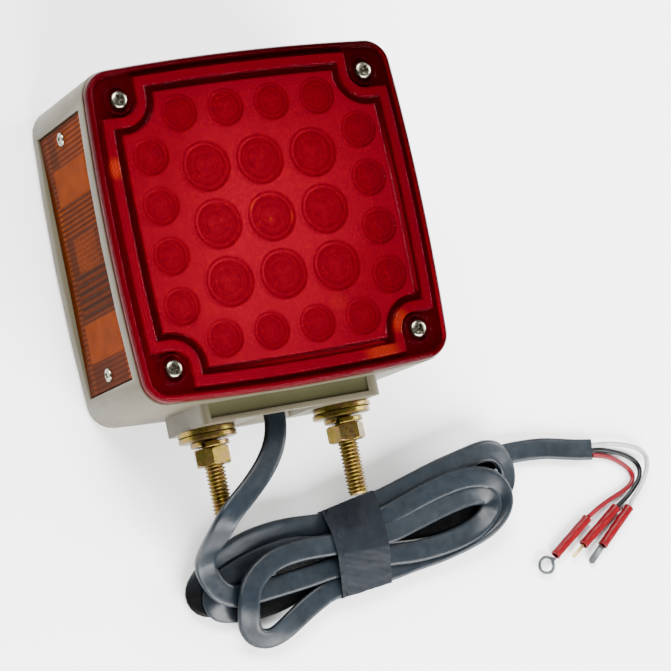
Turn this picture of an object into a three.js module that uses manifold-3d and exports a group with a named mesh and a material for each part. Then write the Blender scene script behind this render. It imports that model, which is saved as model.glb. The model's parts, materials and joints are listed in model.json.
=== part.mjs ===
// A pedestal-mounted trailer tail light, lying on its closed back with its cord taped in a hank.
// Millimetres. +X is the light's right, +Y its top (the mounting studs point to -Y), and +Z comes
// out of the red front lens. The back of the housing rests on z = 0. The origin is below the middle
// of the light, measured from the top of the housing to the tips of the studs.
import * as THREE from "three";
import { mergeVertices } from "three/addons/utils/BufferGeometryUtils.js";
import Module from "manifold-3d";

const wasm = await Module();
wasm.setup();

// ---- Driving dimensions ----
const INCH = 25.4;
const lensSize = 5 * INCH; // width and height of the square front lens
const bodyDepth = 2.5 * INCH; // back of the housing to the widest outline of the lens
const sideBow = 2.2; // how far the middle of each side stands out past its corners
const cornerRadius = 8.4;
const studProjection = 34.7; // bare stud and hardware below the pedestal
const pedestalBottom = 70.6; // from the lens centre down to the pedestal's underside
const threadPitch = INCH / 18;
const studRadius = (5 / 32) * INCH - 0.03;
const studSpacing = 55.6;
const clearance = 0.3; // gap left between neighbouring pieces
const faceGap = 0.12; // gap between flat faces stacked along the studs

const housingHalf = lensSize / 2 + 0.4;
const studTip = pedestalBottom + studProjection;
const lensY = (studTip - housingHalf) / 2; // puts the origin half way up the light and its studs

const wall = 3.2;
const housingTop = bodyDepth - 2.4; // front edge of the housing, under the lens skirt
const backRadius = 3.2;
const flangeWidth = 7.6;
const flangeDepth = 3.6;
const farOut = 100; // well past every piece, for cuts that run right through

const screwX = 49.8; // lens screws, from the lens centre
const screwY = 50.1;

const pedestalHalfWidth = 36.5;
const pedestalHalfDepth = 20.4;
const pedestalZ = 31;
const pedestalTall = pedestalBottom - housingHalf + 4; // underside to the face inside the housing
const studX = studSpacing / 2;
const underside = lensY - pedestalBottom;

const lensFace = bodyDepth + 2.9; // outer face of the front lens
const lensFloor = lensFace - 1.9; // floor of the lens's moat and groove
const bandOuter = 4.7; // insets from the lens outline
const bandInner = 8.5;
const fieldInset = 11.8;
const pocketRadius = 7.2; // around each lens screw

const ringOpticAt = 42.4; // distance of the outer rows of optics from the centre
const ringOpticSpacing = 18.7;
const gridOpticSpacing = 21.5;
const opticRadius = 6.4;
const wideOpticRadius = 8.3;

const sideLensBottom = -50.2; // from the lens centre, along Y
const sideLensTop = 50;
const sideLensBack = 8;
const sideLensFront = 55.6;
const sideLensFace = 62; // distance of the amber lens's outer face from the middle
const sideLensThickness = 2.1;
const sideLedge = 3.4;

const cordWidth = 8.6;
const cordThickness = 3.6;
const wireRadius = 1;
const sleeveRadius = 2;
const sleeveZ = 2.1; // height of the sleeves' middles above the table
const lyingZ = 1.4; // underside of the flat terminals
const terminalThickness = 0.8;

const colours = {
  cast: { color: 0xa8a195, roughness: 0.45, metalness: 0.7 },
  redLens: { color: 0xb01018, roughness: 0.15, metalness: 0 },
  amberLens: { color: 0xc0661a, roughness: 0.25, metalness: 0 },
  gasket: { color: 0x1c1c1c, roughness: 0.9, metalness: 0 },
  zinc: { color: 0x9a8446, roughness: 0.35, metalness: 0.9 },
  nickel: { color: 0xc9c4b8, roughness: 0.3, metalness: 1 },
  board: { color: 0xe4e4de, roughness: 0.6, metalness: 0 },
  emitter: { color: 0xd8a890, roughness: 0.2, metalness: 0 },
  rubber: { color: 0x202326, roughness: 0.7, metalness: 0 },
  jacket: { color: 0x2e3a46, roughness: 0.5, metalness: 0 },
  tape: { color: 0x39424e, roughness: 0.6, metalness: 0 },
  whiteWire: { color: 0xe6e6e6, roughness: 0.4, metalness: 0 },
  blackWire: { color: 0x101216, roughness: 0.4, metalness: 0 },
  redWire: { color: 0xa01c28, roughness: 0.4, metalness: 0 },
  sleeve: { color: 0xa61d1f, roughness: 0.35, metalness: 0 },
  tin: { color: 0xc4c8cc, roughness: 0.3, metalness: 1 },
  brass: { color: 0xa8873c, roughness: 0.35, metalness: 1 },
};

// ---- Solids ----
function solidOf(geometry) {
  const bare = geometry.clone();
  bare.deleteAttribute("normal");
  bare.deleteAttribute("uv");
  const merged = mergeVertices(bare, 1e-4);
  return new wasm.Manifold(
    new wasm.Mesh({
      numProp: 3,
      vertProperties: merged.attributes.position.array,
      triVerts: new Uint32Array(merged.index.array),
    }),
  );
}

function geometryOf(solid) {
  const mesh = solid.getMesh();
  const geometry = new THREE.BufferGeometry();
  geometry.setAttribute("position", new THREE.BufferAttribute(mesh.vertProperties, 3));
  geometry.setIndex(new THREE.BufferAttribute(mesh.triVerts, 1));
  geometry.computeVertexNormals();
  return geometry;
}

const join = (first, ...rest) => rest.reduce((sum, next) => sum.add(next), first);
const cut = (first, ...rest) => rest.reduce((left, next) => left.subtract(next), first);

// A box given by its lowest and highest corners.
function block([x0, y0, z0], [x1, y1, z1]) {
  const geometry = new THREE.BoxGeometry(x1 - x0, y1 - y0, z1 - z0);
  return solidOf(geometry.translate((x0 + x1) / 2, (y0 + y1) / 2, (z0 + z1) / 2));
}

// A box given by any two opposite corners.
function blockBetween(one, other) {
  return block(
    one.map((value, axis) => Math.min(value, other[axis])),
    one.map((value, axis) => Math.max(value, other[axis])),
  );
}

// A flat shape in XY, raised from z0 to z1.
function slab(shape, z0, z1) {
  const settings = { depth: z1 - z0, bevelEnabled: false, curveSegments: 6 };
  return solidOf(new THREE.ExtrudeGeometry(shape, settings).translate(0, 0, z0));
}

// A round bar along +Z.
function postZ(x, y, z0, z1, radius, sides = 20) {
  const geometry = new THREE.CylinderGeometry(radius, radius, z1 - z0, sides);
  return solidOf(geometry.rotateX(Math.PI / 2).translate(x, y, (z0 + z1) / 2));
}

// A round bar along Y.
function postY(x, z, y0, y1, radius, sides = 20) {
  const geometry = new THREE.CylinderGeometry(radius, radius, y1 - y0, sides);
  return solidOf(geometry.translate(x, (y0 + y1) / 2, z));
}

// A round bar along X.
function postX(y, z, x0, x1, radius, sides = 16) {
  const geometry = new THREE.CylinderGeometry(radius, radius, x1 - x0, sides);
  return solidOf(geometry.rotateZ(Math.PI / 2).translate((x0 + x1) / 2, y, z));
}

// A solid of revolution about Y, from a profile of [radius, height] that starts and ends on the axis
// or closes on itself, running from low to high on its outside.
function turned(profile, sides = 24) {
  return solidOf(new THREE.LatheGeometry(profile.map(([r, h]) => new THREE.Vector2(r, h)), sides));
}

// ---- The square outline with bowed sides and rounded corners ----
function squareShape(half, inset, y = lensY) {
  const flat = half - sideBow - inset;
  const radius = Math.max(cornerRadius - inset, 1);
  const straight = flat - radius;
  const corner = [];
  const arcSteps = 5;
  const sideSteps = 4;
  for (let i = 0; i <= arcSteps; i++) {
    const angle = (i / arcSteps) * (Math.PI / 2);
    corner.push([straight + radius * Math.cos(angle), straight + radius * Math.sin(angle)]);
  }
  for (let i = 1; i < sideSteps; i++) corner.push([straight - (2 * straight * i) / sideSteps, flat]);
  const points = [];
  for (let quarter = 0; quarter < 4; quarter++) {
    for (const [cx, cy] of corner) {
      const bowX = cx * (1 + (sideBow / flat) * (1 - (cy / flat) ** 2));
      const bowY = cy * (1 + (sideBow / flat) * (1 - (cx / flat) ** 2));
      const turn = (quarter * Math.PI) / 2;
      points.push(
        new THREE.Vector2(
          bowX * Math.cos(turn) - bowY * Math.sin(turn),
          bowX * Math.sin(turn) + bowY * Math.cos(turn) + y,
        ),
      );
    }
  }
  return new THREE.Shape(points);
}

const lensCorners = [
  ["top_left", -screwX, screwY],
  ["top_right", screwX, screwY],
  ["bottom_left", -screwX, -screwY],
  ["bottom_right", screwX, -screwY],
];

// A piece of the lens pattern: the square at one inset, less a rounded pocket at each screw.
function patternSolid(inset, radius, z0, z1) {
  let solid = slab(squareShape(lensSize / 2, inset), z0, z1);
  for (const [, x, y] of lensCorners) {
    const outX = Math.sign(x) * farOut;
    const outY = Math.sign(y) * farOut;
    const innerX = x - Math.sign(x) * radius;
    const innerY = y - Math.sign(y) * radius;
    solid = cut(
      solid,
      postZ(x, lensY + y, z0 - 1, z1 + 1, radius, 20),
      blockBetween([innerX, lensY + y, z0 - 1], [outX, lensY + outY, z1 + 1]),
      blockBetween([x, lensY + innerY, z0 - 1], [outX, lensY + outY, z1 + 1]),
    );
  }
  return solid;
}

// ---- Housing ----
const boardTop = 47.6;
const boardThickness = 1.6;
const boardPost = 32; // distance of the board's screw posts from the centre, both ways
const boardHalf = 51;
const boardUnder = boardTop - boardThickness - clearance;
const lensPostRadius = 5.6;
const boardPostRadius = 3.6;
const lensPilot = 1.9; // radii of the holes that the screws cut their thread in
const smallPilot = 1.35;
const lensScrewHole = 2.4;
const grommetHole = 6.3;
const sideFrameInner = 55.5;
const sideFloor = sideLensFace - sideLensThickness - 1.1; // where the amber lens's gasket seats
const sideMiddle = (sideLensBottom + sideLensTop) / 2;
const sideScrewZ = 31.8;
const sideBoardFace = -51.4;
const sideBoardLow = 7.5;
const sideBoardHigh = 43.5;
const sideScrewReach = 44.9;
const sideBoardReach = 36; // its screws and tabs, from the middle of the side lens
const sideScrewY = (side) => lensY + sideMiddle + side * sideScrewReach;

function roundedBox(halfX, halfY, radius) {
  const shape = new THREE.Shape();
  shape.absarc(halfX - radius, halfY - radius, radius, 0, Math.PI / 2);
  shape.absarc(-halfX + radius, halfY - radius, radius, Math.PI / 2, Math.PI);
  shape.absarc(-halfX + radius, -halfY + radius, radius, Math.PI, 1.5 * Math.PI);
  shape.absarc(halfX - radius, -halfY + radius, radius, 1.5 * Math.PI, 2 * Math.PI);
  return shape;
}

function pedestalBlock() {
  const base = new THREE.ExtrudeGeometry(roundedBox(pedestalHalfWidth, pedestalHalfDepth, 3), {
    depth: pedestalTall,
    bevelEnabled: false,
    curveSegments: 3,
  });
  return solidOf(base.rotateX(-Math.PI / 2).translate(0, lensY - pedestalBottom, pedestalZ));
}

function housing() {
  const outer = new THREE.ExtrudeGeometry(squareShape(housingHalf, 0), {
    depth: housingTop + 10,
    bevelEnabled: true,
    bevelThickness: backRadius,
    bevelSize: backRadius,
    bevelOffset: -backRadius,
    bevelSegments: 4,
  });
  let body = cut(
    solidOf(outer.translate(0, 0, backRadius)),
    block([-farOut, -farOut, housingTop], [farOut, farOut, farOut]),
  );
  const frameMargin = 2.5;
  const innerFrame = block(
    [-sideLensFace, lensY + sideLensBottom - frameMargin, sideLensBack - wall],
    [-sideFrameInner, lensY + sideLensTop + frameMargin, housingTop - flangeDepth + 1],
  );
  const shellInside = slab(squareShape(housingHalf, wall), wall, housingTop - flangeDepth);
  const flangeInside = slab(squareShape(housingHalf, flangeWidth), housingTop - flangeDepth - 1, farOut);
  body = join(cut(body, shellInside, flangeInside), pedestalBlock(), innerFrame);
  for (const [, x, y] of lensCorners) {
    body = join(body, postZ(x, lensY + y, wall / 2, housingTop, lensPostRadius, 24));
    body = cut(body, postZ(x, lensY + y, 38, farOut, lensPilot, 12));
  }
  for (const x of [-boardPost, boardPost]) {
    for (const y of [-boardPost, boardPost]) {
      const top = boardTop - boardThickness - faceGap;
      body = join(body, postZ(x, lensY + y, wall / 2, top, boardPostRadius, 16));
      body = cut(body, postZ(x, lensY + y, top - 8, farOut, smallPilot, 10));
    }
  }
  // The opening and the recessed seat of the amber lens, in the left wall.
  const low = lensY + sideLensBottom - clearance;
  const high = lensY + sideLensTop + clearance;
  const back = sideLensBack - clearance;
  const front = sideLensFront + clearance;
  const lensBackFace = -sideLensFace + sideLensThickness + 0.1;
  body = cut(
    body,
    block([-farOut, low, back], [-sideFloor, high, front - 1.2]),
    block([-farOut, low, back], [lensBackFace, high, front]),
    block(
      [-farOut, low + sideLedge, sideLensBack + sideLedge],
      [-sideFrameInner + 1, high - sideLedge, sideLensFront - sideLedge - 1],
    ),
  );
  for (const side of [-1, 1]) {
    const y = sideScrewY(side);
    body = join(body, postX(y, sideScrewZ, -sideFloor, -sideFrameInner + 2, 4.4));
    body = cut(body, postX(y, sideScrewZ, -farOut, -sideFrameInner + 3, smallPilot, 10));
    // A screw post at the lower edge of the side board, and a tab that holds its upper edge.
    const boardY = lensY + sideMiddle + side * sideBoardReach;
    const boardBack = sideBoardFace - faceGap;
    body = join(
      body,
      postX(boardY, sideBoardLow + 3, -sideFrameInner - 1, boardBack, 2.2, 10),
      block(
        [-sideFrameInner - 1, boardY - 2, sideBoardHigh - 3],
        [boardBack, boardY + 2, housingTop - flangeDepth],
      ),
    );
  }
  // Shallow panel on the front of the pedestal, and the hollow under it where the cord comes out.
  const pedestalFront = pedestalZ + pedestalHalfDepth;
  const recessHalf = 12.5;
  const inside = underside + pedestalTall + 2;
  body = cut(
    body,
    block([-33.6, underside + 1.8, pedestalFront - 0.7], [31.4, lensY - 63.2, pedestalFront + 5]),
    block([-recessHalf, underside - 5, pedestalZ - 14], [recessHalf, underside + 5, pedestalZ + 15.5]),
    postY(0, pedestalZ, underside, inside, grommetHole),
    postY(-studX, pedestalZ, underside - 5, inside, studRadius + clearance),
    postY(studX, pedestalZ, underside - 5, inside, studRadius + clearance),
  );
  return body;
}

// ---- Front lens, its gasket and screws ----
const gasketTop = housingTop + 1.2;
const lensUnder = gasketTop + faceGap;
const screwHead = lensFloor + faceGap;

function frontLens() {
  const skirtBottom = housingTop + 0.2;
  const plateOuter = new THREE.ExtrudeGeometry(squareShape(lensSize / 2, 0), {
    depth: lensFloor + 0.9 - bodyDepth,
    bevelEnabled: true,
    bevelThickness: 1.4,
    bevelSize: 1.2,
    bevelOffset: -1.2,
    bevelSegments: 2,
  });
  const rimTop = lensFace - 0.5;
  const rimWidth = 2.2;
  let lens = join(
    slab(squareShape(lensSize / 2, 0), skirtBottom, bodyDepth),
    cut(
      solidOf(plateOuter.translate(0, 0, bodyDepth - 0.9)),
      block([-farOut, -farOut, 0], [farOut, farOut, bodyDepth - 0.5]),
    ),
  );
  lens = cut(lens, block([-farOut, -farOut, rimTop], [farOut, farOut, farOut]));
  lens = cut(lens, slab(squareShape(lensSize / 2, rimWidth), lensFloor, farOut));
  const band = patternSolid(bandOuter, pocketRadius, lensFloor - 0.5, lensFace);
  const bandHole = patternSolid(bandInner, pocketRadius + 3.6, lensFloor - 2, lensFace + 1);
  const field = patternSolid(fieldInset, pocketRadius + 6.6, lensFloor - 0.5, lensFace);
  lens = join(lens, cut(band, bandHole), field);
  for (const [x, y, radius] of opticPlaces()) {
    lens = join(lens, postZ(x, lensY + y, lensFace - 1, lensFace + 0.3, radius, 10));
  }
  // Hollow back, with a wide rim that seats on the gasket.
  lens = cut(
    lens,
    slab(squareShape(lensSize / 2, 1.6), skirtBottom - 1, lensUnder),
    patternSolid(flangeWidth, pocketRadius + 1, lensUnder - 1, lensFloor - 1.4),
  );
  for (const [, x, y] of lensCorners) {
    const ring = cut(
      postZ(x, lensY + y, lensFloor - 0.5, lensFace - 0.9, 6.4, 16),
      postZ(x, lensY + y, lensFloor, lensFace, 4.9, 16),
    );
    lens = cut(join(lens, ring), postZ(x, lensY + y, 0, farOut, lensScrewHole, 10));
  }
  return lens;
}

// Every optic of the front lens as [x, y, radius], from the lens centre.
function opticPlaces() {
  const places = [];
  for (const along of [-1.5, -0.5, 0.5, 1.5]) {
    const at = along * ringOpticSpacing;
    for (const side of [-ringOpticAt, ringOpticAt]) {
      places.push([at, side, opticRadius]);
      places.push([side, at, opticRadius]);
    }
  }
  for (const column of [-1, 0, 1]) {
    for (const row of [-1, 0, 1]) {
      places.push([column * gridOpticSpacing, row * gridOpticSpacing, wideOpticRadius]);
    }
  }
  return places;
}

function frontGasket() {
  let ring = cut(
    slab(squareShape(lensSize / 2, 1.9), housingTop + faceGap, gasketTop),
    slab(squareShape(lensSize / 2, flangeWidth), housingTop, gasketTop + 1),
  );
  for (const [, x, y] of lensCorners) {
    ring = join(ring, postZ(x, lensY + y, housingTop + faceGap, gasketTop, 5.2, 14));
    ring = cut(ring, postZ(x, lensY + y, 0, farOut, lensScrewHole, 10));
  }
  return ring;
}

// A pan-head screw standing on z = 0 with its shank down to -length.
function panScrew(headRadius, headHeight, shankRadius, length) {
  const screw = turned(
    [
      [0, -length],
      [shankRadius * 0.5, -length],
      [shankRadius, -length + shankRadius],
      [shankRadius, 0],
      [headRadius, 0],
      [headRadius, headHeight * 0.45],
      [headRadius * 0.8, headHeight * 0.85],
      [0, headHeight],
    ],
    12,
  );
  const slotLength = headRadius * 1.1;
  const slotWidth = headRadius * 0.26;
  const slotDepth = headHeight * 0.55;
  const slot = (alongX, alongZ) =>
    block([-alongX / 2, slotDepth, -alongZ / 2], [alongX / 2, headHeight * 2, alongZ / 2]);
  return cut(screw, slot(slotLength, slotWidth), slot(slotWidth, slotLength));
}

// ---- Boards behind the lenses ----
function ledBoard() {
  let board = block(
    [-boardHalf, lensY - boardHalf, boardTop - boardThickness],
    [boardHalf, lensY + boardHalf, boardTop],
  );
  for (const [, x, y] of lensCorners) {
    board = cut(board, postZ(x, lensY + y, 0, farOut, lensPostRadius + 1.8, 20));
  }
  for (const x of [-boardPost, boardPost]) {
    for (const y of [-boardPost, boardPost]) board = cut(board, postZ(x, lensY + y, 0, farOut, 1.5, 10));
  }
  const emitter = turned(
    [
      [0, -0.5],
      [2.7, -0.5],
      [2.5, 3.6],
      [1.7, 5.3],
      [0, 6],
    ],
    6,
  );
  for (const [x, y] of opticPlaces()) {
    board = join(board, emitter.rotate([90, 0, 0]).translate([x, lensY + y, boardTop]));
  }
  return board;
}

function sideBoard() {
  let board = block(
    [sideBoardFace, lensY + sideMiddle - 40, sideBoardLow],
    [sideBoardFace + boardThickness, lensY + sideMiddle + 40, sideBoardHigh],
  );
  for (const side of [-1, 1]) {
    board = cut(board, postX(lensY + sideMiddle + side * sideBoardReach, sideBoardLow + 3, -60, -40, 1, 8));
  }
  return board;
}

function sideEmitter() {
  const module = turned(
    [
      [0, 0],
      [6.5, 0],
      [6.5, 1.4],
      [4.2, 1.8],
      [4.0, 3.4],
      [2.9, 5.0],
      [0, 5.8],
    ],
    16,
  );
  return module.rotate([0, 0, 90]).translate([sideBoardFace - faceGap, lensY + sideMiddle, sideScrewZ]);
}

// ---- Amber side lens ----
function sideLens() {
  let lens = block(
    [-sideLensFace, lensY + sideLensBottom, sideLensBack],
    [-sideLensFace + sideLensThickness, lensY + sideLensTop, sideLensFront],
  );
  for (const side of [-1, 1]) {
    const y = sideScrewY(side);
    lens = cut(
      lens,
      postX(y, sideScrewZ, -70, -sideLensFace + 0.8, 3.3),
      postX(y, sideScrewZ, -70, -50, 1.6, 12),
    );
  }
  // Cross ribs moulded along the inner face, grouped as bands with a plain window between them.
  const ribPitch = 3.4;
  for (let y = sideLensBottom + 12; y < sideLensTop - 12; y += ribPitch) {
    if (Math.abs(y - sideMiddle) < 12) continue;
    lens = cut(
      lens,
      block(
        [-sideLensFace + 1.5, lensY + y, sideLensBack + sideLedge + 2],
        [-sideLensFace + sideLensThickness + 1, lensY + y + ribPitch / 2, sideLensFront - sideLedge - 3],
      ),
    );
  }
  return lens;
}

function sideGasket() {
  const inner = -sideFloor - faceGap;
  const outer = -sideLensFace + sideLensThickness + 0.1 + faceGap;
  let ring = block(
    [outer, lensY + sideLensBottom, sideLensBack],
    [inner, lensY + sideLensTop, sideLensFront - 1.3],
  );
  ring = cut(
    ring,
    block(
      [-70, lensY + sideLensBottom + sideLedge, sideLensBack + sideLedge],
      [-50, lensY + sideLensTop - sideLedge, sideLensFront - sideLedge - 1],
    ),
  );
  for (const side of [-1, 1]) {
    const y = sideScrewY(side);
    ring = join(ring, postX(y, sideScrewZ, outer, inner, 4.2));
    ring = cut(ring, postX(y, sideScrewZ, -70, -50, 1.7, 12));
  }
  return ring;
}

// ---- Studs and their hardware. Each piece is made about Y = 0 facing -Y and then placed ----
const washerThickness = 2.1;
const lockThickness = 2;
const lockRise = 0.8;
const nutHeight = 6.67;
const nutFlats = 12.7;
const washerRadius = (7 / 16) * INCH;

function stud() {
  const headBase = pedestalTall + faceGap;
  const shank = turned(
    [
      [0, -studProjection],
      [studRadius - 0.9, -studProjection],
      [studRadius, -studProjection + 0.9],
      [studRadius, headBase + 0.5],
      [0, headBase + 0.5],
    ],
    16,
  );
  const head = turned(
    [
      [0, headBase],
      [7, headBase],
      [7, headBase + 3.6],
      [6, headBase + 4.4],
      [0, headBase + 4.4],
    ],
    6,
  );
  return join(shank, head);
}

function flatWasher() {
  const hole = (3 / 16) * INCH;
  return turned(
    [
      [hole, 0],
      [washerRadius, 0],
      [washerRadius, washerThickness],
      [hole, washerThickness],
      [hole, 0],
    ],
    28,
  );
}

// A split ring whose ends stand one above the other, before it is tightened flat.
function lockWasher() {
  const inner = studRadius + 0.2;
  const outer = 7.4;
  const gapAngle = 0.16;
  const shape = new THREE.Shape();
  shape.absarc(0, 0, outer, gapAngle, 2 * Math.PI - gapAngle, false);
  shape.absarc(0, 0, inner, 2 * Math.PI - gapAngle, gapAngle, true);
  const settings = { depth: lockThickness, bevelEnabled: false, curveSegments: 12 };
  const ring = new THREE.ExtrudeGeometry(shape, settings);
  const position = ring.attributes.position;
  for (let i = 0; i < position.count; i++) {
    const angle = (Math.atan2(position.getY(i), position.getX(i)) + 2 * Math.PI) % (2 * Math.PI);
    position.setZ(i, position.getZ(i) + (lockRise * angle) / (2 * Math.PI));
  }
  return solidOf(ring.rotateX(-Math.PI / 2));
}

function nut() {
  const across = nutFlats / 2;
  const corner = across / Math.cos(Math.PI / 6);
  const hex = turned(
    [
      [0, 0],
      [corner, 0],
      [corner, nutHeight],
      [0, nutHeight],
    ],
    6,
  );
  const chamfered = turned(
    [
      [0, 0],
      [across, 0],
      [corner + 0.1, 0.75],
      [corner + 0.1, nutHeight - 0.75],
      [across, nutHeight],
      [0, nutHeight],
    ],
    24,
  );
  return cut(hex.intersect(chamfered), postY(0, 0, -1, nutHeight + 1, studRadius + 0.22, 16));
}

// ---- Cord, hank, wires and terminals ----
// The route of the cord from inside the housing, over the end of the left stud and down to the hank.
const leadRoute = [
  [0, underside + 12, 31],
  [0, underside + 6, 31],
  [0, underside, 31.6],
  [-1.4, underside - 5, 33.2],
  [-4.2, underside - 10.5, 35.2],
  [-8.6, -66.2, 36.8],
  [-14.4, -72, 37.7],
  [-20.4, -77, 38.1],
  [-25.8, -81.2, 38.2],
  [-30, -85.6, 36.8],
  [-32.2, -90, 31.6],
  [-33, -93.2, 25],
  [-33, -95, 19.4],
  [-33, -95.6, 16.2],
];
// The jacket's tail, from the hank to the end of the jacket.
const tailRoute = [
  [110.2, -78.6, 3],
  [114.5, -78.6, 3],
  [120, -78.8, 2.8],
  [126.4, -79.4, 2.7],
  [132.8, -80.7, 2.6],
  [139.5, -82.1, 2.6],
  [146.6, -83.2, 2.6],
];
const whiteRoute = [
  [147.2, -81.6, 2.8],
  [152, -81.9, 3.4],
  [158, -82.9, 3.4],
  [164, -84.6, 3.2],
  [168.8, -86.9, 3.2],
  [171, -90.4, 3.4],
  [170, -94.6, 4],
  [167.6, -98.4, 4.2],
  [164.2, -102.6, 4.3],
  [161.1, -106.2, 2.8],
  [159.4, -108.6, 2.1],
];
const blackRoute = [
  [147.2, -83.6, 1.6],
  [152, -84, 1.4],
  [157, -85.6, 1.2],
  [162.2, -87.8, 1.2],
  [166.4, -91, 1.3],
  [167.9, -94.6, 1.5],
  [166.2, -98.4, 2.2],
  [162.8, -101.8, 2.4],
  [158.4, -105.2, 2.2],
  [153.6, -107.9, 2.1],
];
const redRoute = [
  [147.2, -85.8, 2],
  [150.6, -86.3, 1.4],
  [155, -87.7, 1.2],
  [159.4, -90.4, 1.2],
  [163, -93.8, 1.2],
  [164.2, -97, 1.2],
  [162.4, -100, 1.2],
  [158, -102.3, 1.2],
  [150.6, -104.8, 1.3],
  [144.4, -107.3, 1.7],
  [139.4, -109.7, 2.1],
];
const ringSleeve = [[138.6, -110.2], [120.8, -122.2]];
const pinSleeve = [[152.8, -108.2], [134.4, -120.4]];
const bladeSleeve = [[158.9, -109.2], [143, -122.2]];

// Outer shape of the hank, seen from above, anticlockwise.
const hankOutline = [
  [-38.6, -100], [-38.4, -112], [-27, -122], [-19, -131], [-6, -135.8], [8, -131.4], [26, -121],
  [44, -115.6], [76, -112.4], [97, -106], [107.6, -93], [108, -80], [100.6, -70.6], [82, -74.4],
  [44, -84.6], [14, -88.8], [-14, -89.6], [-31, -91],
];
const hankBottom = 1.2;
const hankTop = 15;
const tapeLeft = 22;
const tapeRight = 43.6;

const vectors = (route) => route.map(([x, y, z]) => new THREE.Vector3(x, y, z));

function ovalSection(halfX, halfY, sides) {
  const points = [];
  for (let i = 0; i < sides; i++) {
    const angle = ((i + 0.5) / sides) * 2 * Math.PI;
    points.push(new THREE.Vector2(halfX * Math.cos(angle), halfY * Math.sin(angle)));
  }
  return new THREE.Shape(points);
}

function tube(route, section, steps) {
  const curve = new THREE.CatmullRomCurve3(vectors(route), false, "centripetal");
  return solidOf(new THREE.ExtrudeGeometry(section, { steps, bevelEnabled: false, extrudePath: curve }));
}

// The hank's outline, moved outward by a margin.
function hankShape(margin) {
  const points = hankOutline.map(([x, y]) => new THREE.Vector3(x, y, 0));
  const curve = new THREE.CatmullRomCurve3(points, true, "centripetal");
  const around = curve.getSpacedPoints(44).slice(0, -1);
  const moved = around.map((point, i) => {
    const before = around[(i + around.length - 1) % around.length];
    const after = around[(i + 1) % around.length];
    const along = new THREE.Vector2(after.x - before.x, after.y - before.y).normalize();
    return new THREE.Vector2(point.x + along.y * margin, point.y - along.x * margin);
  });
  return new THREE.Shape(moved);
}

function hankTape() {
  const slice = block([tapeLeft, -140, 0], [tapeRight, -60, 30]);
  const outer = slab(hankShape(1), 0.2, hankTop + 1);
  return cut(outer.intersect(slice), slab(hankShape(0.35), 0.85, hankTop + 0.35));
}

// A round piece from one point on the table to another, resting at one height.
function lyingRod([from, to], z, radius, sides = 12) {
  const start = new THREE.Vector3(from[0], from[1], z);
  const end = new THREE.Vector3(to[0], to[1], z);
  const along = end.clone().sub(start);
  const up = new THREE.Vector3(0, 1, 0);
  const turn = new THREE.Quaternion().setFromUnitVectors(up, along.clone().normalize());
  const geometry = new THREE.CylinderGeometry(radius, radius, along.length(), sides).applyQuaternion(turn);
  const middle = start.add(end).multiplyScalar(0.5);
  return solidOf(geometry.translate(middle.x, middle.y, middle.z));
}

// A flat terminal blade drawn along +X from the end of its sleeve, then turned into place.
function lyingBlade(shape, [from, to], z, thickness) {
  const turn = Math.atan2(to[1] - from[1], to[0] - from[0]);
  const settings = { depth: thickness, bevelEnabled: false, curveSegments: 10 };
  const plate = new THREE.ExtrudeGeometry(shape, settings);
  return solidOf(plate.rotateZ(turn).translate(to[0], to[1], z));
}

function ringTerminal() {
  const shape = new THREE.Shape();
  const eye = 5.7; // distance of the ring's middle from the sleeve
  const eyeRadius = 3.9;
  const eyeHole = 2.5;
  const neckHalf = 1.4;
  const neckAngle = Math.asin(neckHalf / eyeRadius);
  shape.moveTo(clearance, -neckHalf);
  shape.absarc(eye, 0, eyeRadius, Math.PI + neckAngle, Math.PI - neckAngle, false);
  shape.lineTo(clearance, neckHalf);
  const hole = new THREE.Path();
  hole.absarc(eye, 0, eyeHole, 0, 2 * Math.PI, true);
  shape.holes.push(hole);
  return lyingBlade(shape, ringSleeve, lyingZ, terminalThickness);
}

function bladeTerminal() {
  const shape = new THREE.Shape();
  const length = 9.4;
  const half = 1.4;
  shape.moveTo(clearance, -half);
  shape.lineTo(length - half, -half);
  shape.absarc(length - half, 0, half, -Math.PI / 2, Math.PI / 2, false);
  shape.lineTo(clearance, half);
  return lyingBlade(shape, bladeSleeve, lyingZ, terminalThickness);
}

function pinTerminal() {
  const [from, to] = pinSleeve;
  const along = new THREE.Vector2(to[0] - from[0], to[1] - from[1]).normalize();
  const length = 7;
  const start = [to[0] + along.x * clearance, to[1] + along.y * clearance];
  const end = [to[0] + along.x * length, to[1] + along.y * length];
  return lyingRod([start, end], sleeveZ, 0.8, 8);
}

// Rubber grommet in the floor of the pedestal's hollow.
function grommet() {
  const outerFace = underside + 5;
  const innerFace = underside + pedestalTall;
  const profile = [
    [0, outerFace - 2],
    [7.4, outerFace - 2],
    [8.2, outerFace - 1.2],
    [8.2, outerFace - faceGap],
    [grommetHole - clearance, outerFace - faceGap],
    [grommetHole - clearance, innerFace + faceGap],
    [8, innerFace + faceGap],
    [7.4, innerFace + 1.6],
    [0, innerFace + 1.6],
  ];
  const hole = new THREE.ExtrudeGeometry(ovalSection(cordWidth / 2 + 0.4, cordThickness / 2 + 0.4, 16), {
    depth: 40,
    bevelEnabled: false,
  });
  const opening = solidOf(hole.rotateX(-Math.PI / 2).translate(0, underside - 10, 0));
  return cut(turned(profile, 24), opening);
}

// ---- The assembly ----
const light = new THREE.Group();

function add(name, solid, look, place = [0, 0, 0], spin = null) {
  const mesh = new THREE.Mesh(geometryOf(solid), new THREE.MeshStandardMaterial(colours[look]));
  mesh.name = name;
  mesh.position.set(...place);
  if (spin) mesh.rotation.set(...spin);
  light.add(mesh);
}

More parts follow.
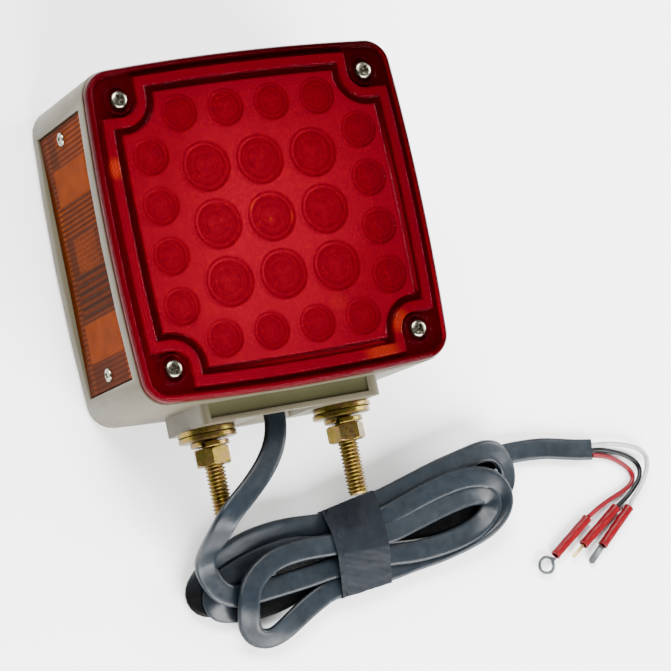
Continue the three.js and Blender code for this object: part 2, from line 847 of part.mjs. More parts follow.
add("housing", housing(), "cast");
add("front_lens", frontLens(), "redLens");
add("front_lens_gasket", frontGasket(), "gasket");
const lensScrew = panScrew(3.7, 2.3, 1.6, 14);
for (const [corner, x, y] of lensCorners) {
  add("front_lens_screw_" + corner, lensScrew, "nickel", [x, lensY + y, screwHead], [Math.PI / 2, 0.5, 0]);
}
add("led_board", ledBoard(), "board");
const boardScrew = panScrew(2.4, 1.6, 1.1, 7);
for (const [corner, x, y] of lensCorners) {
  const place = [Math.sign(x) * boardPost, lensY + Math.sign(y) * boardPost, boardTop + faceGap];
  add("led_board_screw_" + corner, boardScrew, "nickel", place, [Math.PI / 2, 0, 0]);
}

add("side_marker_lens", sideLens(), "amberLens");
add("side_marker_gasket", sideGasket(), "gasket");
const sideScrew = panScrew(2.7, 1.7, 1.1, 6);
for (const [end, side] of [["bottom", -1], ["top", 1]]) {
  const place = [-sideLensFace + 0.8 - faceGap, lensY + sideMiddle + side * sideScrewReach, sideScrewZ];
  add("side_marker_screw_" + end, sideScrew, "nickel", place, [0, 0, Math.PI / 2]);
}
add("side_marker_board", sideBoard(), "board");
add("side_marker_emitter", sideEmitter(), "emitter");

const studPiece = stud();
const washerPiece = flatWasher();
const lockPiece = lockWasher();
const nutPiece = nut();
// Heights of the hardware under the foot, from the top of the stack down.
const firstWasher = underside - faceGap - washerThickness;
const secondWasher = firstWasher - faceGap - washerThickness;
const lockPlace = secondWasher - faceGap - lockThickness - lockRise;
const nutPlace = lockPlace - faceGap - nutHeight;
for (const [side, x] of [["left", -studX], ["right", studX]]) {
  const away = Math.sign(x);
  add("mounting_stud_" + side, studPiece, "zinc", [x, underside, pedestalZ]);
  add("inner_washer_" + side, washerPiece, "zinc", [x + 0.4 * away, firstWasher, pedestalZ]);
  add("outer_washer_" + side, washerPiece, "zinc", [x - 0.4, secondWasher, pedestalZ + 0.2]);
  add("lock_washer_" + side, lockPiece, "zinc", [x, lockPlace, pedestalZ], [0, away * 0.6, 0]);
  add("nut_" + side, nutPiece, "zinc", [x, nutPlace, pedestalZ], [0, away * 0.2, 0]);
}

add("cord_grommet", grommet(), "rubber", [0, 0, pedestalZ]);

// Three wires inside the housing, from the end of the jacket to the back of the board.
const innerWires = [
  ["white", -2.4, "whiteWire"],
  ["black", 0, "blackWire"],
  ["red", 2.4, "redWire"],
];
const innerStart = underside + 12.6;
for (const [colour, offset, look] of innerWires) {
  const route = [
    [offset, innerStart, 31],
    [offset * 1.5, innerStart + 6, 31.5],
    [offset * 3, innerStart + 14, 36],
    [offset * 4, innerStart + 18, 42],
    [offset * 4, innerStart + 19, boardUnder],
  ];
  add("inner_wire_" + colour, tube(route, ovalSection(0.9, 0.9, 6), 10), look);
}
// Two wires from the main board to the side marker's board.
for (const [use, offset, look] of [["supply", 4, "redWire"], ["ground", -4, "whiteWire"]]) {
  const route = [
    [-40, lensY + offset - 14, boardUnder],
    [-40, lensY + offset - 14, 42],
    [-43, lensY + offset - 13, 37],
    [-47, lensY + offset - 12, 34.5],
    [-49.4, lensY + offset - 12, 34.5],
  ];
  add("side_wire_" + use, tube(route, ovalSection(0.9, 0.9, 6), 10), look);
}

const flatSection = ovalSection(cordWidth / 2, cordThickness / 2, 10);
const wireSection = ovalSection(wireRadius, wireRadius, 8);
add("cord_lead", tube(leadRoute, flatSection, 26), "jacket");
add("cord_hank", slab(hankShape(0), hankBottom, hankTop), "jacket");
add("hank_tape", hankTape(), "tape");
add("cord_tail", tube(tailRoute, flatSection, 14), "jacket");
add("white_wire", tube(whiteRoute, wireSection, 24), "whiteWire");
add("black_wire", tube(blackRoute, wireSection, 22), "blackWire");
add("red_wire", tube(redRoute, wireSection, 24), "redWire");
add("ring_terminal_sleeve", lyingRod(ringSleeve, sleeveZ, sleeveRadius), "sleeve");
add("pin_terminal_sleeve", lyingRod(pinSleeve, sleeveZ, sleeveRadius), "sleeve");
add("blade_terminal_sleeve", lyingRod(bladeSleeve, sleeveZ, sleeveRadius), "sleeve");
add("ring_terminal", ringTerminal(), "tin");
add("pin_terminal", pinTerminal(), "brass");
add("blade_terminal", bladeTerminal(), "tin");

export default light;
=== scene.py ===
"""Looks of a pedestal-mounted trailer tail light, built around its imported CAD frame."""

import json
import math

import bpy
import numpy as np
from mathutils import Matrix, Vector, noise


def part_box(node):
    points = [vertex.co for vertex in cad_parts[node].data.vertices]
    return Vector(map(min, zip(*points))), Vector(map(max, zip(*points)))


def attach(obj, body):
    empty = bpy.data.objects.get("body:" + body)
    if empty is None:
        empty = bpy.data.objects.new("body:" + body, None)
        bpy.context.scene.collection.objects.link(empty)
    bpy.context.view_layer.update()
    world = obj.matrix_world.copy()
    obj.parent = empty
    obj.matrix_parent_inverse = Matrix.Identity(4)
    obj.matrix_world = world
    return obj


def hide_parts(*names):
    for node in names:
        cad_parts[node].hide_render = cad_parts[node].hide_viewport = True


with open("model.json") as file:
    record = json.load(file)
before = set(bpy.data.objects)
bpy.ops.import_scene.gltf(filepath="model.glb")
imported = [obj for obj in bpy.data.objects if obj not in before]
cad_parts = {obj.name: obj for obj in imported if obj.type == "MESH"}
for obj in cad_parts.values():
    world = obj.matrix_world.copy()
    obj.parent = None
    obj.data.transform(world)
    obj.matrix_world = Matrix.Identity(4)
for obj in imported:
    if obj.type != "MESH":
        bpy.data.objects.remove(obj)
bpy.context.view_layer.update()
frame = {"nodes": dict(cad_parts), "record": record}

MM = 0.001
BODY = "light"

# ---- Places read from the frame ----
lens_low, lens_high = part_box("front_lens")
LENS_Y = (lens_low.y + lens_high.y) / 2
LENS_HALF = (lens_high.x - lens_low.x) / 2
LENS_FACE = lens_high.z
housing_low, housing_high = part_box("housing")
HOUSING_TOP = housing_high.z

# ---- Shapes of curves ----
EASE = 0.3 * MM  # half the width of a moulded step
FINE_EASE = 0.2 * MM


def ease(start, end, value):
    share = np.clip((value - start) / (end - start), 0, 1)
    return share * share * (3 - 2 * share)


def within(start, end, value, edge=EASE):
    """1 between two values and 0 outside, with eased edges."""
    return ease(start - edge, start + edge, value) * (1 - ease(end - edge, end + edge, value))


def quarter_round(distance, radius):
    """Rises from 0 at an edge to 1 a radius away from it, as a rounded edge does."""
    share = np.clip(distance / radius, 0, 1)
    return np.sqrt(np.clip(1 - (1 - share) ** 2, 0, 1))


def ribs_of(distance, pitch):
    """Fine ribs as a triangle wave from 0 to 1 that repeats along a distance."""
    return np.abs(2 * ((distance / pitch) % 1) - 1)


def wave_of(distance, pitch):
    """A cosine from 0 to 1 that repeats along a distance."""
    return 0.5 + 0.5 * np.cos(distance / pitch * 2 * math.pi)


# ---- Meshes ----
SIDE_SMOOTHING = 6
PATH_SMOOTHING = 60
POINTS_BETWEEN = 24
NO_LENGTH = 1e-9


def shade_smooth(mesh, angle):
    """Smooth shading, with edges sharper than an angle in degrees kept crisp. 0 keeps none crisp."""
    for polygon in mesh.polygons:
        polygon.use_smooth = True
    if angle:
        mesh.set_sharp_from_angle(angle=math.radians(angle))


def linked(name, data):
    """A new object in the scene."""
    thing = bpy.data.objects.new(name, data)
    bpy.context.scene.collection.objects.link(thing)
    return thing


def dressed(thing, look, body, smooth):
    """Gives an object its look and edges, and lets it ride on its body."""
    thing.data.materials.clear()
    thing.data.materials.append(look)
    shade_smooth(thing.data, smooth)
    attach(thing, body)
    return thing


def piece(name, points, faces, look, body=BODY, smooth=35, *, slot):
    """A mesh object from points in metres, riding on a body."""
    mesh = bpy.data.meshes.new(name)
    mesh.from_pydata([tuple(p) for p in points], [], [tuple(f) for f in faces])
    mesh.validate()
    mesh.update()
    return dressed(linked(name, mesh), look, body, smooth)


def mark(thing, name, values, domain="POINT"):
    """Holds a value at each point or face of a mesh, for its look to read."""
    layer = thing.data.attributes.new(name, "FLOAT", domain).data
    layer.foreach_set("value", np.asarray(values, np.float32))


def joined(parts):
    """Several (points, faces) lists as one."""
    points, faces = [], []
    for some_points, some_faces in parts:
        start = len(points)
        points.extend(some_points)
        faces.extend([[i + start for i in face] for face in some_faces])
    return points, faces


def moved(part, matrix):
    points, faces = part
    return [matrix @ Vector(p) for p in points], faces


def circle(sides):
    """Evenly spaced angles once round a circle."""
    return [2 * math.pi * i / sides for i in range(sides)]


def around(radius, angle, z=0.0):
    """The point at a distance and an angle from the Z axis."""
    return radius * math.cos(angle), radius * math.sin(angle), z


def rings(ring_list, capped=True):
    """Faces between rings of equally many points, each ring closed on itself."""
    count = len(ring_list[0])
    points = [Vector(p) for ring in ring_list for p in ring]
    faces = []
    for r in range(len(ring_list) - 1):
        for i in range(count):
            j = (i + 1) % count
            a, b = r * count, (r + 1) * count
            faces.append([a + i, a + j, b + j, b + i])
    if capped:
        faces.append(list(range(count))[::-1])
        faces.append([(len(ring_list) - 1) * count + i for i in range(count)])
    return points, faces


def lathe(profile, sides):
    """A solid of revolution about +Z from [radius, height] pairs, listed from its bottom to its top."""
    return rings([[around(radius, a, height) for a in circle(sides)] for radius, height in profile])


def grid_faces(index, flip=False):
    """Quads between neighbouring points of a grid of point numbers."""
    corners = [index[:-1, :-1], index[:-1, 1:], index[1:, 1:], index[1:, :-1]]
    quads = np.stack(corners, axis=-1).reshape(-1, 4)
    return quads[:, ::-1] if flip else quads


def border_of(index):
    """The point numbers round the edge of a grid, in order."""
    return np.concatenate([index[0, :-1], index[:-1, -1], index[-1, :0:-1], index[:0:-1, 0]])


def strip_faces(first, second):
    """Quads between two closed rows of point numbers."""
    return np.stack([np.roll(first, -1), first, second, np.roll(second, -1)], axis=-1)


def frames_along(path, rolls):
    """Side and face directions at each point of a path, turned about it by a roll in degrees."""
    last = len(path) - 1
    sides = []
    tangents = []
    for i in range(len(path)):
        tangent = (path[min(i + 1, last)] - path[max(i - 1, 0)]).normalized()
        level = tangent.cross(Vector((0, 0, 1)))
        sides.append(level if level.length > NO_LENGTH else Vector((1, 0, 0)))
        tangents.append(tangent)
    for _ in range(SIDE_SMOOTHING):
        before, after = sides[:1] + sides[:-1], sides[1:] + sides[-1:]
        sides = [(a + b * 2 + c) / 4 for a, b, c in zip(before, sides, after)]
    made = []
    for tangent, side, roll in zip(tangents, sides, rolls):
        side = (side - tangent * side.dot(tangent)).normalized()
        side = Matrix.Rotation(math.radians(roll), 3, tangent) @ side
        made.append((side, side.cross(tangent)))
    return made


def sweep(path, rolls, section):
    """A tube along a path, whose section is a list of (across, up) pairs."""
    made = []
    for point, (side, face) in zip(path, frames_along(path, rolls)):
        made.append([point + side * across + face * up for across, up in section])
    return rings(made)


def spline(points, step):
    """Points spaced evenly along a smooth curve through given points. Extra values ride along."""
    array = np.array(points, float)
    dense = []
    for k in range(len(array) - 1):
        p0 = array[max(k - 1, 0)]
        p1, p2 = array[k], array[k + 1]
        p3 = array[min(k + 2, len(array) - 1)]
        t = np.linspace(0, 1, POINTS_BETWEEN, endpoint=False)[:, None]
        square = (2 * p0 - 5 * p1 + 4 * p2 - p3) * t**2
        cube = (3 * p1 - p0 - 3 * p2 + p3) * t**3
        dense.append(0.5 * (2 * p1 + (p2 - p0) * t + square + cube))
    dense = np.vstack([*dense, array[-1:]])
    for _ in range(PATH_SMOOTHING):
        dense[1:-1] = (dense[:-2] + 2 * dense[1:-1] + dense[2:]) / 4
    gaps = np.linalg.norm(np.diff(dense[:, :3], axis=0), axis=1)
    along = np.concatenate([[0], np.cumsum(gaps)])
    count = max(2, round(along[-1] / step))
    wanted = np.linspace(0, along[-1], count + 1)
    return np.stack([np.interp(wanted, along, dense[:, c]) for c in range(dense.shape[1])], axis=1)


# ---- Looks ----
WAVE_SCALE = 0.314  # the wave texture's bands at scale 1 are this far apart


class Look:
    """A procedural material on one Principled shader. Lengths in it are in metres."""

    def __init__(self, name, **inputs):
        self.material = bpy.data.materials.new(name)
        self.material.use_nodes = True
        self.nodes = self.material.node_tree.nodes
        self.links = self.material.node_tree.links
        self.shader = self.nodes["Principled BSDF"]
        self.place = self.nodes.new("ShaderNodeTexCoord").outputs["Object"]
        for key, value in inputs.items():
            self.set(key.replace("_", " "), value)

    def set(self, key, value):
        self.link(value, next(s for s in self.shader.inputs if s.name.lower() == key.lower()))

    def link(self, value, socket):
        if isinstance(value, bpy.types.NodeSocket):
            self.links.new(value, socket)
        elif socket.type == "RGBA":
            socket.default_value = (*value, 1)
        else:
            socket.default_value = value

    def texture(self, kind, output, place=None, **values):
        """An output of a texture or mapping node, with some of its inputs set."""
        node = self.nodes.new(kind)
        for name, value in values.items():
            node.inputs[name].default_value = value
        self.links.new(place or self.place, node.inputs["Vector"])
        return node.outputs[output]

    def stretched(self, scale):
        return self.texture("ShaderNodeMapping", "Vector", Scale=scale)

    def wave(self, size, distortion):
        """Bands about a given size apart."""
        return self.texture("ShaderNodeTexWave", "Fac", Scale=WAVE_SCALE / size, Distortion=distortion)

    def noise(self, size, detail=3, place=None, distortion=0):
        """Cloudy values from 0 to 1 with blobs about a given size across."""
        values = {"Scale": 1 / size, "Detail": detail, "Distortion": distortion}
        return self.texture("ShaderNodeTexNoise", "Fac", place, **values)

    def attribute(self, name):
        """A value that the mesh holds at its points or faces."""
        node = self.nodes.new("ShaderNodeAttribute")
        node.attribute_name = name
        return node.outputs["Fac"]

    def ramp(self, value, *stops):
        """A colour ramp with (position, colour) stops, where a plain number is a grey."""
        node = self.nodes.new("ShaderNodeValToRGB")
        elements = node.color_ramp.elements
        while len(elements) < len(stops):
            elements.new(0.5)
        for element, (position, colour) in zip(elements, stops):
            element.position = position
            grey = isinstance(colour, (int, float))
            element.color = (colour, colour, colour, 1) if grey else (*colour, 1)
        self.links.new(value, node.inputs["Fac"])
        return node.outputs["Color"]

    def cloud(self, size, detail, low, high, start=0.3, end=0.7):
        """A cloudy mix of two colours or greys, with blobs about a given size across."""
        return self.ramp(self.noise(size, detail), (start, low), (end, high))

    def mix(self, share, first, second, kind="MIX"):
        """A mix of two colours. A Mix node's colour sockets are its inputs 6 and 7 and its output 2."""
        node = self.nodes.new("ShaderNodeMix")
        node.data_type = "RGBA"
        node.blend_type = kind
        self.link(share, node.inputs["Factor"])
        self.link(first, node.inputs[6])
        self.link(second, node.inputs[7])
        return node.outputs[2]

    def bump(self, height, depth, after=None):
        """Adds relief of a given depth in metres."""
        node = self.nodes.new("ShaderNodeBump")
        node.inputs["Strength"].default_value = 1
        node.inputs["Distance"].default_value = depth
        self.links.new(height, node.inputs["Height"])
        if after:
            self.links.new(after, node.inputs["Normal"])
        self.links.new(node.outputs["Normal"], self.shader.inputs["Normal"])
        return node.outputs["Normal"]


def jacket_look():
    """Dark blue vinyl. Deep in the hank it lies unlit, so there it carries painted shade, darker and with
    less sheen: see the mesh's shade.
    """
    look = Look("jacket_vinyl", roughness=0.36)
    cloud = look.cloud(9 * MM, 4, (0.0024, 0.0047, 0.0073), (0.0044, 0.0084, 0.0128))
    shade = look.attribute("shade")
    # Painted shade: where the mesh's shade is low the vinyl darkens to near black and its sheen drops.
    look.set("base color", look.mix(shade, (0.0012, 0.0012, 0.0014), cloud))
    look.set("specular ior level", look.ramp(shade, (0.0, 0.06), (1.0, 0.27)))
    look.set("roughness", look.cloud(3 * MM, 5, 0.36, 0.48, end=0.75))
    look.bump(look.noise(6 * MM, 2), 0.00022)
    return look.material


def tape_look():
    look = Look("vinyl_tape", roughness=0.55, specular_ior_level=0.12)
    look.set("base color", look.cloud(6 * MM, 5, (0.0020, 0.0034, 0.0058), (0.0034, 0.0056, 0.0090)))
    wrinkles = look.noise(1.6 * MM, 3, look.stretched((1, 0.3, 0.3)), distortion=1.0)
    first = look.bump(wrinkles, 0.00010)
    look.bump(look.noise(7 * MM, 2), 0.0004, first)
    return look.material


def insulation_look(name, colour, roughness=0.3, specular=0.4):
    look = Look(name, roughness=roughness, specular_ior_level=specular)
    darker = tuple(c * 0.75 for c in colour)
    look.set("base color", look.cloud(4 * MM, 4, darker, colour, start=0.35))
    look.bump(look.noise(0.8 * MM, 3), 0.00003)
    return look.material


def housing_look():
    """Satin silver paint on moulded plastic, with a fine flake and faint flow marks."""
    look = Look("satin_silver", metallic=0.15, roughness=0.42, specular_ior_level=0.2)
    cloud = look.noise(35 * MM, 3)
    base = look.ramp(cloud, (0.3, (0.070, 0.060, 0.037)), (0.7, (0.086, 0.074, 0.047)))
    olive = look.ramp(cloud, (0.3, (0.040, 0.038, 0.0150)), (0.7, (0.050, 0.048, 0.020)))
    base = look.mix(look.attribute("panel"), base, olive)
    flake = look.cloud(0.25 * MM, 1, 0.86, 1.0, start=0.35)
    look.set("base color", look.mix(1.0, base, flake, "MULTIPLY"))
    look.set("roughness", look.cloud(8 * MM, 4, 0.42, 0.52, end=0.75))
    look.bump(look.noise(0.3 * MM, 2), 0.00002)
    return look.material


def red_lens_look():
    """Clear red acrylic with painted light and shade: painted darker where the moulding is thick or stands on
    edge and lighter towards the bottom left, with painted orange glints: see the mesh's shade and glint.
    """
    look = Look("red_lens", transmission_weight=0.78, ior=1.15, specular_ior_level=0.15)
    deep, middle, pale = (0.046, 0.0, 0.0010), (0.262, 0.0032, 0.0150), (0.46, 0.0054, 0.0265)
    colour = look.ramp(look.attribute("shade"), (0.0, deep), (0.75, middle), (1.0, pale))
    # Painted orange glints are mixed in wherever the mesh's glint is set.
    with_painted_glints = look.mix(look.attribute("glint"), colour, (0.80, 0.075, 0.004))
    cloud = look.cloud(40 * MM, 2, 0.88, 1.0)
    look.set("base color", look.mix(1.0, with_painted_glints, cloud, "MULTIPLY"))
    look.set("specular tint", (0.40, 0.12, 0.13))
    look.set("roughness", look.cloud(6 * MM, 4, 0.07, 0.14, end=0.8))
    return look.material


def amber_lens_look():
    """Amber acrylic with painted light and shade: pale on its blocks and beads, and painted deep brown
    between them where one looks into the dark: see the mesh's shade.
    """
    look = Look("amber_lens", roughness=0.12, transmission_weight=0.2, ior=1.06, specular_ior_level=0.08)
    deep, middle, pale = (0.020, 0.0044, 0.0), (0.100, 0.0150, 0.0), (0.200, 0.031, 0.0)
    colour = look.ramp(look.attribute("shade"), (0.0, deep), (0.5, middle), (1.0, pale))
    cloud = look.cloud(9 * MM, 3, 0.72, 1.0)
    look.set("base color", look.mix(1.0, colour, cloud, "MULTIPLY"))
    look.set("roughness", look.cloud(4 * MM, 4, 0.12, 0.25, end=0.8))
    return look.material


def zinc_look():
    """Yellow chromate on zinc: gold with olive, rose and green blushes."""
    look = Look("yellow_zinc", metallic=1.0, roughness=0.3)
    blush = look.noise(3.2 * MM, 4, distortion=0.6)
    colour = look.ramp(
        blush,
        (0.30, (0.118, 0.108, 0.022)),
        (0.42, (0.168, 0.118, 0.023)),
        (0.52, (0.195, 0.135, 0.034)),
        (0.60, (0.190, 0.105, 0.045)),
        (0.72, (0.122, 0.120, 0.034)),
    )
    grime = look.cloud(1.2 * MM, 4, 0.78, 1.0, 0.35, 0.6)
    look.set("base color", look.mix(1.0, colour, grime, "MULTIPLY"))
    look.set("roughness", look.cloud(1.0 * MM, 4, 0.26, 0.44, end=0.75))
    look.bump(look.noise(0.5 * MM, 3), 0.00004)
    return look.material


def nickel_look():
    look = Look("nickel", metallic=1.0, roughness=0.22)
    look.set("base color", look.cloud(1.5 * MM, 4, (0.17, 0.16, 0.12), (0.26, 0.245, 0.19), start=0.35))
    look.set("roughness", look.cloud(0.8 * MM, 4, 0.18, 0.34, end=0.75))
    look.bump(look.noise(0.4 * MM, 3), 0.00003)
    return look.material


def tin_look():
    look = Look("tin_plate", metallic=1.0, roughness=0.3)
    look.set("base color", look.cloud(1.5 * MM, 3, (0.20, 0.215, 0.23), (0.34, 0.355, 0.37)))
    look.bump(look.noise(0.5 * MM, 3), 0.00004)
    return look.material


def brass_look():
    look = Look("brass", metallic=1.0, roughness=0.34)
    look.set("base color", look.cloud(1.2 * MM, 3, (0.42, 0.30, 0.12), (0.60, 0.46, 0.20)))
    look.bump(look.noise(0.5 * MM, 3), 0.00004)
    return look.material


def rubber_look():
    look = Look("rubber", roughness=0.75)
    look.set("base color", look.cloud(2 * MM, 4, (0.012, 0.012, 0.013), (0.03, 0.03, 0.032)))
    look.bump(look.noise(0.4 * MM, 3), 0.00006)
    return look.material


def board_look():
    """White solder resist over faint tracks."""
    look = Look("white_resist", roughness=0.5)
    base = look.cloud(30 * MM, 2, (0.40, 0.38, 0.36), (0.66, 0.64, 0.61), 0.35, 0.65)
    tracks = look.ramp(look.wave(9 * MM, 3), (0.86, 1.0), (0.93, 0.88))
    look.set("base color", look.mix(1.0, base, tracks, "MULTIPLY"))
    look.bump(look.noise(1 * MM, 3), 0.00004)
    return look.material


def emitter_look():
    look = Look("led_epoxy", roughness=0.08, transmission_weight=0.55, ior=1.5)
    look.set("base color", look.cloud(3 * MM, 2, (0.86, 0.74, 0.70), (0.93, 0.84, 0.80)))
    return look.material


def lead_look():
    look = Look("led_lead", metallic=0.6, roughness=0.5)
    look.set("base color", look.cloud(1 * MM, 3, (0.03, 0.03, 0.03), (0.07, 0.065, 0.06)))
    return look.material


LOOKS = {
    "jacket": jacket_look(),
    "tape": tape_look(),
    "white": insulation_look("white_vinyl", (0.34, 0.34, 0.35)),
    "black": insulation_look("black_vinyl", (0.002, 0.002, 0.003), 0.35, 0.2),
    "red": insulation_look("red_vinyl", (0.13, 0.0006, 0.006), 0.35, 0.2),
    "sleeve": insulation_look("sleeve_vinyl", (0.115, 0.0002, 0.0030), 0.35, 0.12),
    "housing": housing_look(),
    "red_lens": red_lens_look(),
    "amber_lens": amber_lens_look(),
    "zinc": zinc_look(),
    "nickel": nickel_look(),
    "tin": tin_look(),
    "brass": brass_look(),
    "rubber": rubber_look(),
    "board": board_look(),
    "emitter": emitter_look(),
    "lead": lead_look(),
}

# ---- Camera ----
CAMERA_PLACE = Vector((-0.4342, -0.1285, 1.0274))
CAMERA_RIGHT = Vector((0.89463, -0.20515, 0.39693))
CAMERA_FORWARD = Vector((0.42187, 0.09517, -0.90165))
SENSOR_WIDTH = 36
FOCAL_LENGTH = 154.91
NEAREST = 0.01


def add_camera():
    data = bpy.data.cameras.new("camera")
    data.sensor_width = SENSOR_WIDTH
    data.lens = FOCAL_LENGTH
    data.clip_start = NEAREST
    camera = linked("camera", data)
    up = CAMERA_RIGHT.cross(CAMERA_FORWARD)
    turn = Matrix((CAMERA_RIGHT, up, -CAMERA_FORWARD)).transposed()
    camera.matrix_world = Matrix.Translation(CAMERA_PLACE) @ turn.to_4x4()
    bpy.context.scene.camera = camera


add_camera()

# ---- Cord ----
CORD_WIDTH = 8.6 * MM
CORD_THICKNESS = 3.6 * MM
CORD_SIDES = 24
CORD_SAG = 0.35 * MM
SAG_NARROWING = 2.4
END_FULLNESS = 0.7
FACE_FULLNESS = 0.6
CORD_STEP = 1.6 * MM
DARK_BELOW = 4.2 * MM
LIT_ABOVE = 5.6 * MM
HANK_END = 105 * MM

# Points of the cord as (x, y, z, roll), in millimetres and degrees. The lead runs from inside the housing,
# over the end of the left stud and down to the hank.
LEAD = [
    (0, -37.9, 31, 0), (0, -43.9, 31, 0), (0, -49.9, 31.6, 0), (-1.4, -54.9, 33.2, 2),
    (-4.2, -60.4, 35.2, 4), (-8.6, -66.2, 36.8, 6), (-14.4, -72, 37.7, 8), (-20.4, -77, 38.1, 4),
    (-25.8, -81.2, 38.2, 0), (-30, -85.6, 36.8, 0), (-32.2, -90, 31.6, 0), (-33, -93.2, 25, 0),
    (-33, -95.5, 19, 0),
]
# The hank: seven runs through the tape, with loops past both of its ends, in the order in which the cord
# makes them.
FIRST_LEFT_LOOP = [
    (-32.8, -98.6, 14.6, 0), (-31.8, -103.2, 12.6, 4), (-29.4, -107.8, 11.6, 6),
    (-26, -111.2, 10.6, 6), (-19.6, -113.2, 9, 4), (-12, -113, 8, 0), (0, -112, 7.8, 0),
    (11, -111, 8, 0),
]
INNER_RIGHT_LOOP = [
    (56, -109.8, 8.6, 0), (70, -109, 8.4, 0), (82, -106.6, 8.2, -14), (90, -102.8, 8.2, -30),
    (94.2, -97.8, 8.6, -36), (92.4, -93.4, 9.2, -30), (84, -92.4, 9.8, -14), (70, -94.8, 10.6, -6),
    (56, -98.2, 11.3, 0),
]
UPPER_LEFT_LOOP = [
    (9, -100.6, 12.8, 0), (-3, -102, 12.9, 0), (-11.2, -106, 12.9, 4), (-15.9, -111, 12.9, 6),
    (-17.9, -116.6, 12.6, 8), (-18.3, -121.6, 11, 20), (-17.6, -126, 8.4, 40),
    (-14.6, -129.8, 6.8, 44), (-9, -131, 6.2, 34), (-2.6, -128.8, 6, 16), (4.4, -124.8, 6, 4),
    (12.4, -120.6, 6.2, 0),
]
OUTER_RIGHT_LOOP = [
    (56, -113.2, 5.8, -6), (68, -111.8, 5.6, -14), (80, -109.4, 6, -26), (90, -106.4, 7, -40),
    (96.6, -101.6, 8.6, -45), (98.8, -96, 10.2, -40), (96.6, -90, 11.4, -25), (91, -86.4, 12, -12),
    (82, -85.4, 12.2, 0), (70, -87.2, 12, 0), (56, -91, 11.6, 0),
]
MIDDLE_LEFT_LOOP = [
    (12, -98.6, 8, 0), (2, -98.9, 8, 0), (-9, -100.6, 7.8, 0), (-19, -103.6, 7.8, 4),
    (-26.6, -107.6, 7.8, 14), (-29.8, -112.4, 7.4, 30), (-27.8, -117, 6.4, 30),
    (-22.4, -118.2, 5, 14), (-14.6, -119, 3.8, 0), (-3, -118, 3.4, 0), (9, -114.6, 3.2, 0),
]
TOP_RIGHT_LOOP = [
    (56, -100.6, 3.6, 0), (70, -101, 3.6, 0), (84, -99.6, 3.6, 0), (96, -96.6, 3.8, 0),
    (103, -91.6, 4.8, 10), (104.8, -86, 6.4, 20), (103.2, -80.8, 8, 14), (99.6, -77, 9.2, 0),
    (94, -76.2, 10, -8), (85, -77.8, 10.4, -6), (72, -80.6, 10.4, 0), (58, -84.4, 10.2, 0),
]
LOWER_LEFT_LOOP = [
    (12, -91.8, 8.6, -8), (2, -91.6, 8.4, -12), (-9, -92.8, 8, -16), (-18, -95.4, 7.2, -16),
    (-25.4, -99.4, 6.2, -10), (-31.4, -103.6, 5.2, 0), (-34.9, -108.4, 4.4, 10),
    (-33.4, -113.2, 3.8, 10), (-27.6, -114.6, 3.6, 0), (-18, -110.4, 3.6, 0), (-4, -103.4, 3.6, 0),
    (10, -98.4, 3.6, 0),
]
LAST_RUN = [
    (56, -89.6, 3.6, 0), (70, -87.2, 3.6, 0), (84, -84.2, 3.6, 0), (96, -80.8, 3.4, 0),
    (104.6, -79, 3.2, 10),
]
# The tail of the jacket, past the hank.
TAIL = [
    (110.2, -78.6, 3, 10), (114.5, -78.6, 3, 10), (120, -78.8, 2.8, 6), (126.4, -79.4, 2.7, 4),
    (132.8, -80.7, 2.6, 0), (139.5, -82.1, 2.6, 0), (146.6, -83.2, 2.6, 0),
]
LOOPS = [
    FIRST_LEFT_LOOP,
    INNER_RIGHT_LOOP,
    UPPER_LEFT_LOOP,
    OUTER_RIGHT_LOOP,
    MIDDLE_LEFT_LOOP,
    TOP_RIGHT_LOOP,
    LOWER_LEFT_LOOP,
    LAST_RUN,
]
# Where each run passes under the tape: (y, z) at its left edge and at its right edge, in millimetres.
TAPE_LEFT = 21.5
TAPE_RIGHT = 44
RUNS = [
    ((-109.6, 8.3), (-109.0, 8.4)),
    ((-101.0, 12.4), (-100.8, 11.9)),
    ((-117.2, 6.6), (-115.0, 6.2)),
    ((-98.6, 8.0), (-94.6, 11.4)),
    ((-109.6, 3.2), (-100.0, 3.4)),
    ((-92.2, 8.6), (-88.0, 9.8)),
    ((-95.6, 3.6), (-91.6, 3.6)),
]


def in_metres(points):
    """Places given in millimetres as places in metres. A roll that follows them stays as it is."""
    return [(x * MM, y * MM, z * MM, *roll) for x, y, z, *roll in points]


def cord_points():
    """Every listed point of the cord, in metres, from the housing to the end of the jacket."""
    points = list(LEAD)
    for number, loop in enumerate(LOOPS):
        points.extend(loop)
        if number < len(RUNS):
            left, right = RUNS[number]
            run = [(TAPE_LEFT, *left, 0), (TAPE_RIGHT, *right, 0)]
            points.extend(run if number % 2 == 0 else reversed(run))
    return in_metres(points + TAIL)


def flat_section():
    """A flat oval with full edges, whose broad faces sag a little towards each other."""
    made = []
    for angle in circle(CORD_SIDES):
        c, s = math.cos(angle), math.sin(angle)
        across = CORD_WIDTH / 2 * math.copysign(abs(c) ** END_FULLNESS, c)
        up = CORD_THICKNESS / 2 * math.copysign(abs(s) ** FACE_FULLNESS, s)
        sag = CORD_SAG * max(0, 1 - (SAG_NARROWING * across / CORD_WIDTH) ** 2)
        made.append((across, up - math.copysign(sag, s)))
    return made


def add_cord():
    line = spline(cord_points(), CORD_STEP)
    path = [Vector(row[:3]) for row in line]
    section = flat_section()
    points, faces = sweep(path, line[:, 3], section)
    cord = piece("flat_cord", points, faces, LOOKS["jacket"], smooth=60, slot="cord_jacket")
    # Painted shade: the cord is marked dark where it lies low, short of the hank's right end, and lit where
    # it lies high or beyond that end.
    lit = [ease(DARK_BELOW, LIT_ABOVE, p.z) if p.x < HANK_END else 1.0 for p in path]
    mark(cord, "shade", np.repeat(lit, len(section)))
    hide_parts("cord_lead", "cord_hank", "cord_tail")


add_cord()

